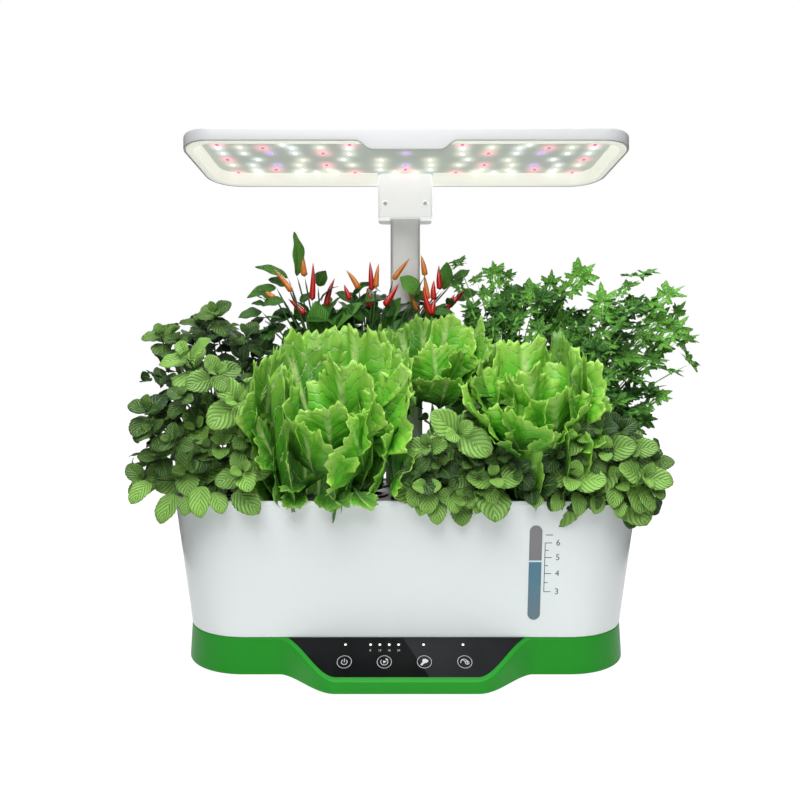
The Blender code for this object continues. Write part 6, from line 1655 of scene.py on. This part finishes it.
class GROW_OT_parsley(bpy.types.Operator):
    """Two parsley plants of cut leaves on thin stalks"""

    bl_idname = "grow.parsley"
    bl_label = "Parsley"

    def execute(self, context):
        plants = settings("plants")
        finish = leaf_finish("parsley_leaf", plants.parsley, plants.parsley_dark, [part * 1.25 for part in plants.parsley], 4.0, 0.5, 0.48, 0.3, pale=0.3)
        stem = moulded("parsley_stem", plants.parsley, 0.55, 0.1)
        self.plant("parsley_rear", 10, PARSLEY_REAR_LEAVES, ((455, 585), (285, 350), (0, 50), 16), finish, stem, 31)
        self.plant("parsley_right", 12, PARSLEY_RIGHT_LEAVES, ((575, 660), (300, 430), (-30, 40), 26), finish, stem, 37)
        return {"FINISHED"}

    def plant(self, node, number, table, gaps, finish, stem, seed):
        """One plant: each leaf has a middle leaflet and two pairs beside it, on a stalk from the pod."""
        draws = np.random.default_rng(settings("plants").seed + seed)
        leaves, stalks, root = Leaves(), [], pod(number)
        (left, right), (top, bottom), (near, far), count = gaps
        rows = list(table)
        # Filling leaves, dark with painted shade, and crown leaves in middling painted light.
        for _ in range(count):
            rows.append((draws.uniform(left, right), draws.uniform(top, bottom), draws.uniform(13, 18), draws.uniform(near, far), 0.12))
        rows = [(photo_place(across, down, depth * MM), size, tone) for across, down, size, depth, tone in rows]
        crown = Leaves()
        bush(crown, node, 46, (15, 19), 0.4, root, draws)
        rows += [(place, 1000 * 2 * width / 0.62, tone) for place, _, _, _, width, _, tone in crown.rows]
        for middle, size, tone in rows:
            out = unit((middle - root) * [1.0, 0.6, 0.5] + draws.normal(0, 0.012, 3))
            face = unit(towards_camera(middle) * draws.uniform(0.3, 1.0) + [0, 0, draws.uniform(0.2, 0.9)] + draws.normal(0, 0.25, 3))
            aim = unit(out - face * np.dot(out, face))
            side = np.cross(aim, face)
            size = size * 1.15 * MM
            base = middle - aim * size * 0.55
            for turn, start, share in ((0, 0.25, 1.0), (62, 0.12, 0.72), (-62, 0.12, 0.72), (88, -0.42, 0.6), (-88, -0.42, 0.6)):
                angle = math.radians(turn + draws.normal(0, 7))
                way = unit(aim * math.cos(angle) + side * math.sin(angle) + face * draws.normal(0, 0.14))
                place = base + aim * size * start + way * size * 0.10
                leaf_along(leaves, place, way, face, size * share * 0.95, 2.0, draws.uniform(-0.1, 0.5), 0.1, tone + draws.normal(0, 0.08))
                stalks.append(curve(base - aim * size * 0.45, base, place, np.linspace(0, 1, 12)))
            bottom_point = base - aim * size * 0.45
            handle = root + (bottom_point - root) * [0.25, 0.25, 0.7]
            stalks.append(curve(root + draws.normal(0, 0.003, 3) * [1, 1, 0], handle, bottom_point, np.linspace(0, 1, 12)))

        def form(count, width, fold):
            return cut_leaf(count, width, 5, 33, draws)

        plant_piece(node + "_leaves", node, leaves, form, finish, settings("plants").thickness, stalks, 0.6 * MM, stem)


GROUPS = {"studio": StudioSettings, "casing": CasingSettings, "panel": PanelSettings, "lamp": LampSettings, "plants": PlantSettings}
OPERATORS = (
    GROW_OT_stage,
    GROW_OT_casing,
    GROW_OT_panel,
    GROW_OT_gauge,
    GROW_OT_deck,
    GROW_OT_inside,
    GROW_OT_mast,
    GROW_OT_lamp,
    GROW_OT_mint,
    GROW_OT_lettuce,
    GROW_OT_peppers,
    GROW_OT_parsley,
)


class GROW_PT_sidebar(bpy.types.Panel):
    """The operators, with the settings of each group"""

    bl_idname = "GROW_PT_sidebar"
    bl_label = "Grow System"
    bl_space_type = "VIEW_3D"
    bl_region_type = "UI"
    bl_category = "Grow System"

    def draw(self, context):
        for operator in OPERATORS:
            self.layout.operator(operator.bl_idname)
        for name, group in GROUPS.items():
            box = self.layout.box()
            box.label(text=name.title())
            for field in group.__annotations__:
                box.prop(getattr(context.scene, "grow_" + name), field)


def register():
    """Registers the groups, operators and panel, and hangs the groups on the scene."""
    for item in (*GROUPS.values(), *OPERATORS, GROW_PT_sidebar):
        bpy.utils.register_class(item)
    for name, group in GROUPS.items():
        setattr(bpy.types.Scene, "grow_" + name, PointerProperty(type=group))


def unregister():
    """Takes back what register did."""
    for name in GROUPS:
        delattr(bpy.types.Scene, "grow_" + name)
    for item in reversed((*GROUPS.values(), *OPERATORS, GROW_PT_sidebar)):
        bpy.utils.unregister_class(item)


def main():
    """Registers the groups and operators, and builds every piece."""
    register()
    for operator in OPERATORS:
        group, name = operator.bl_idname.split(".")
        getattr(getattr(bpy.ops, group), name)()


if __name__ == "__main__":
    main()
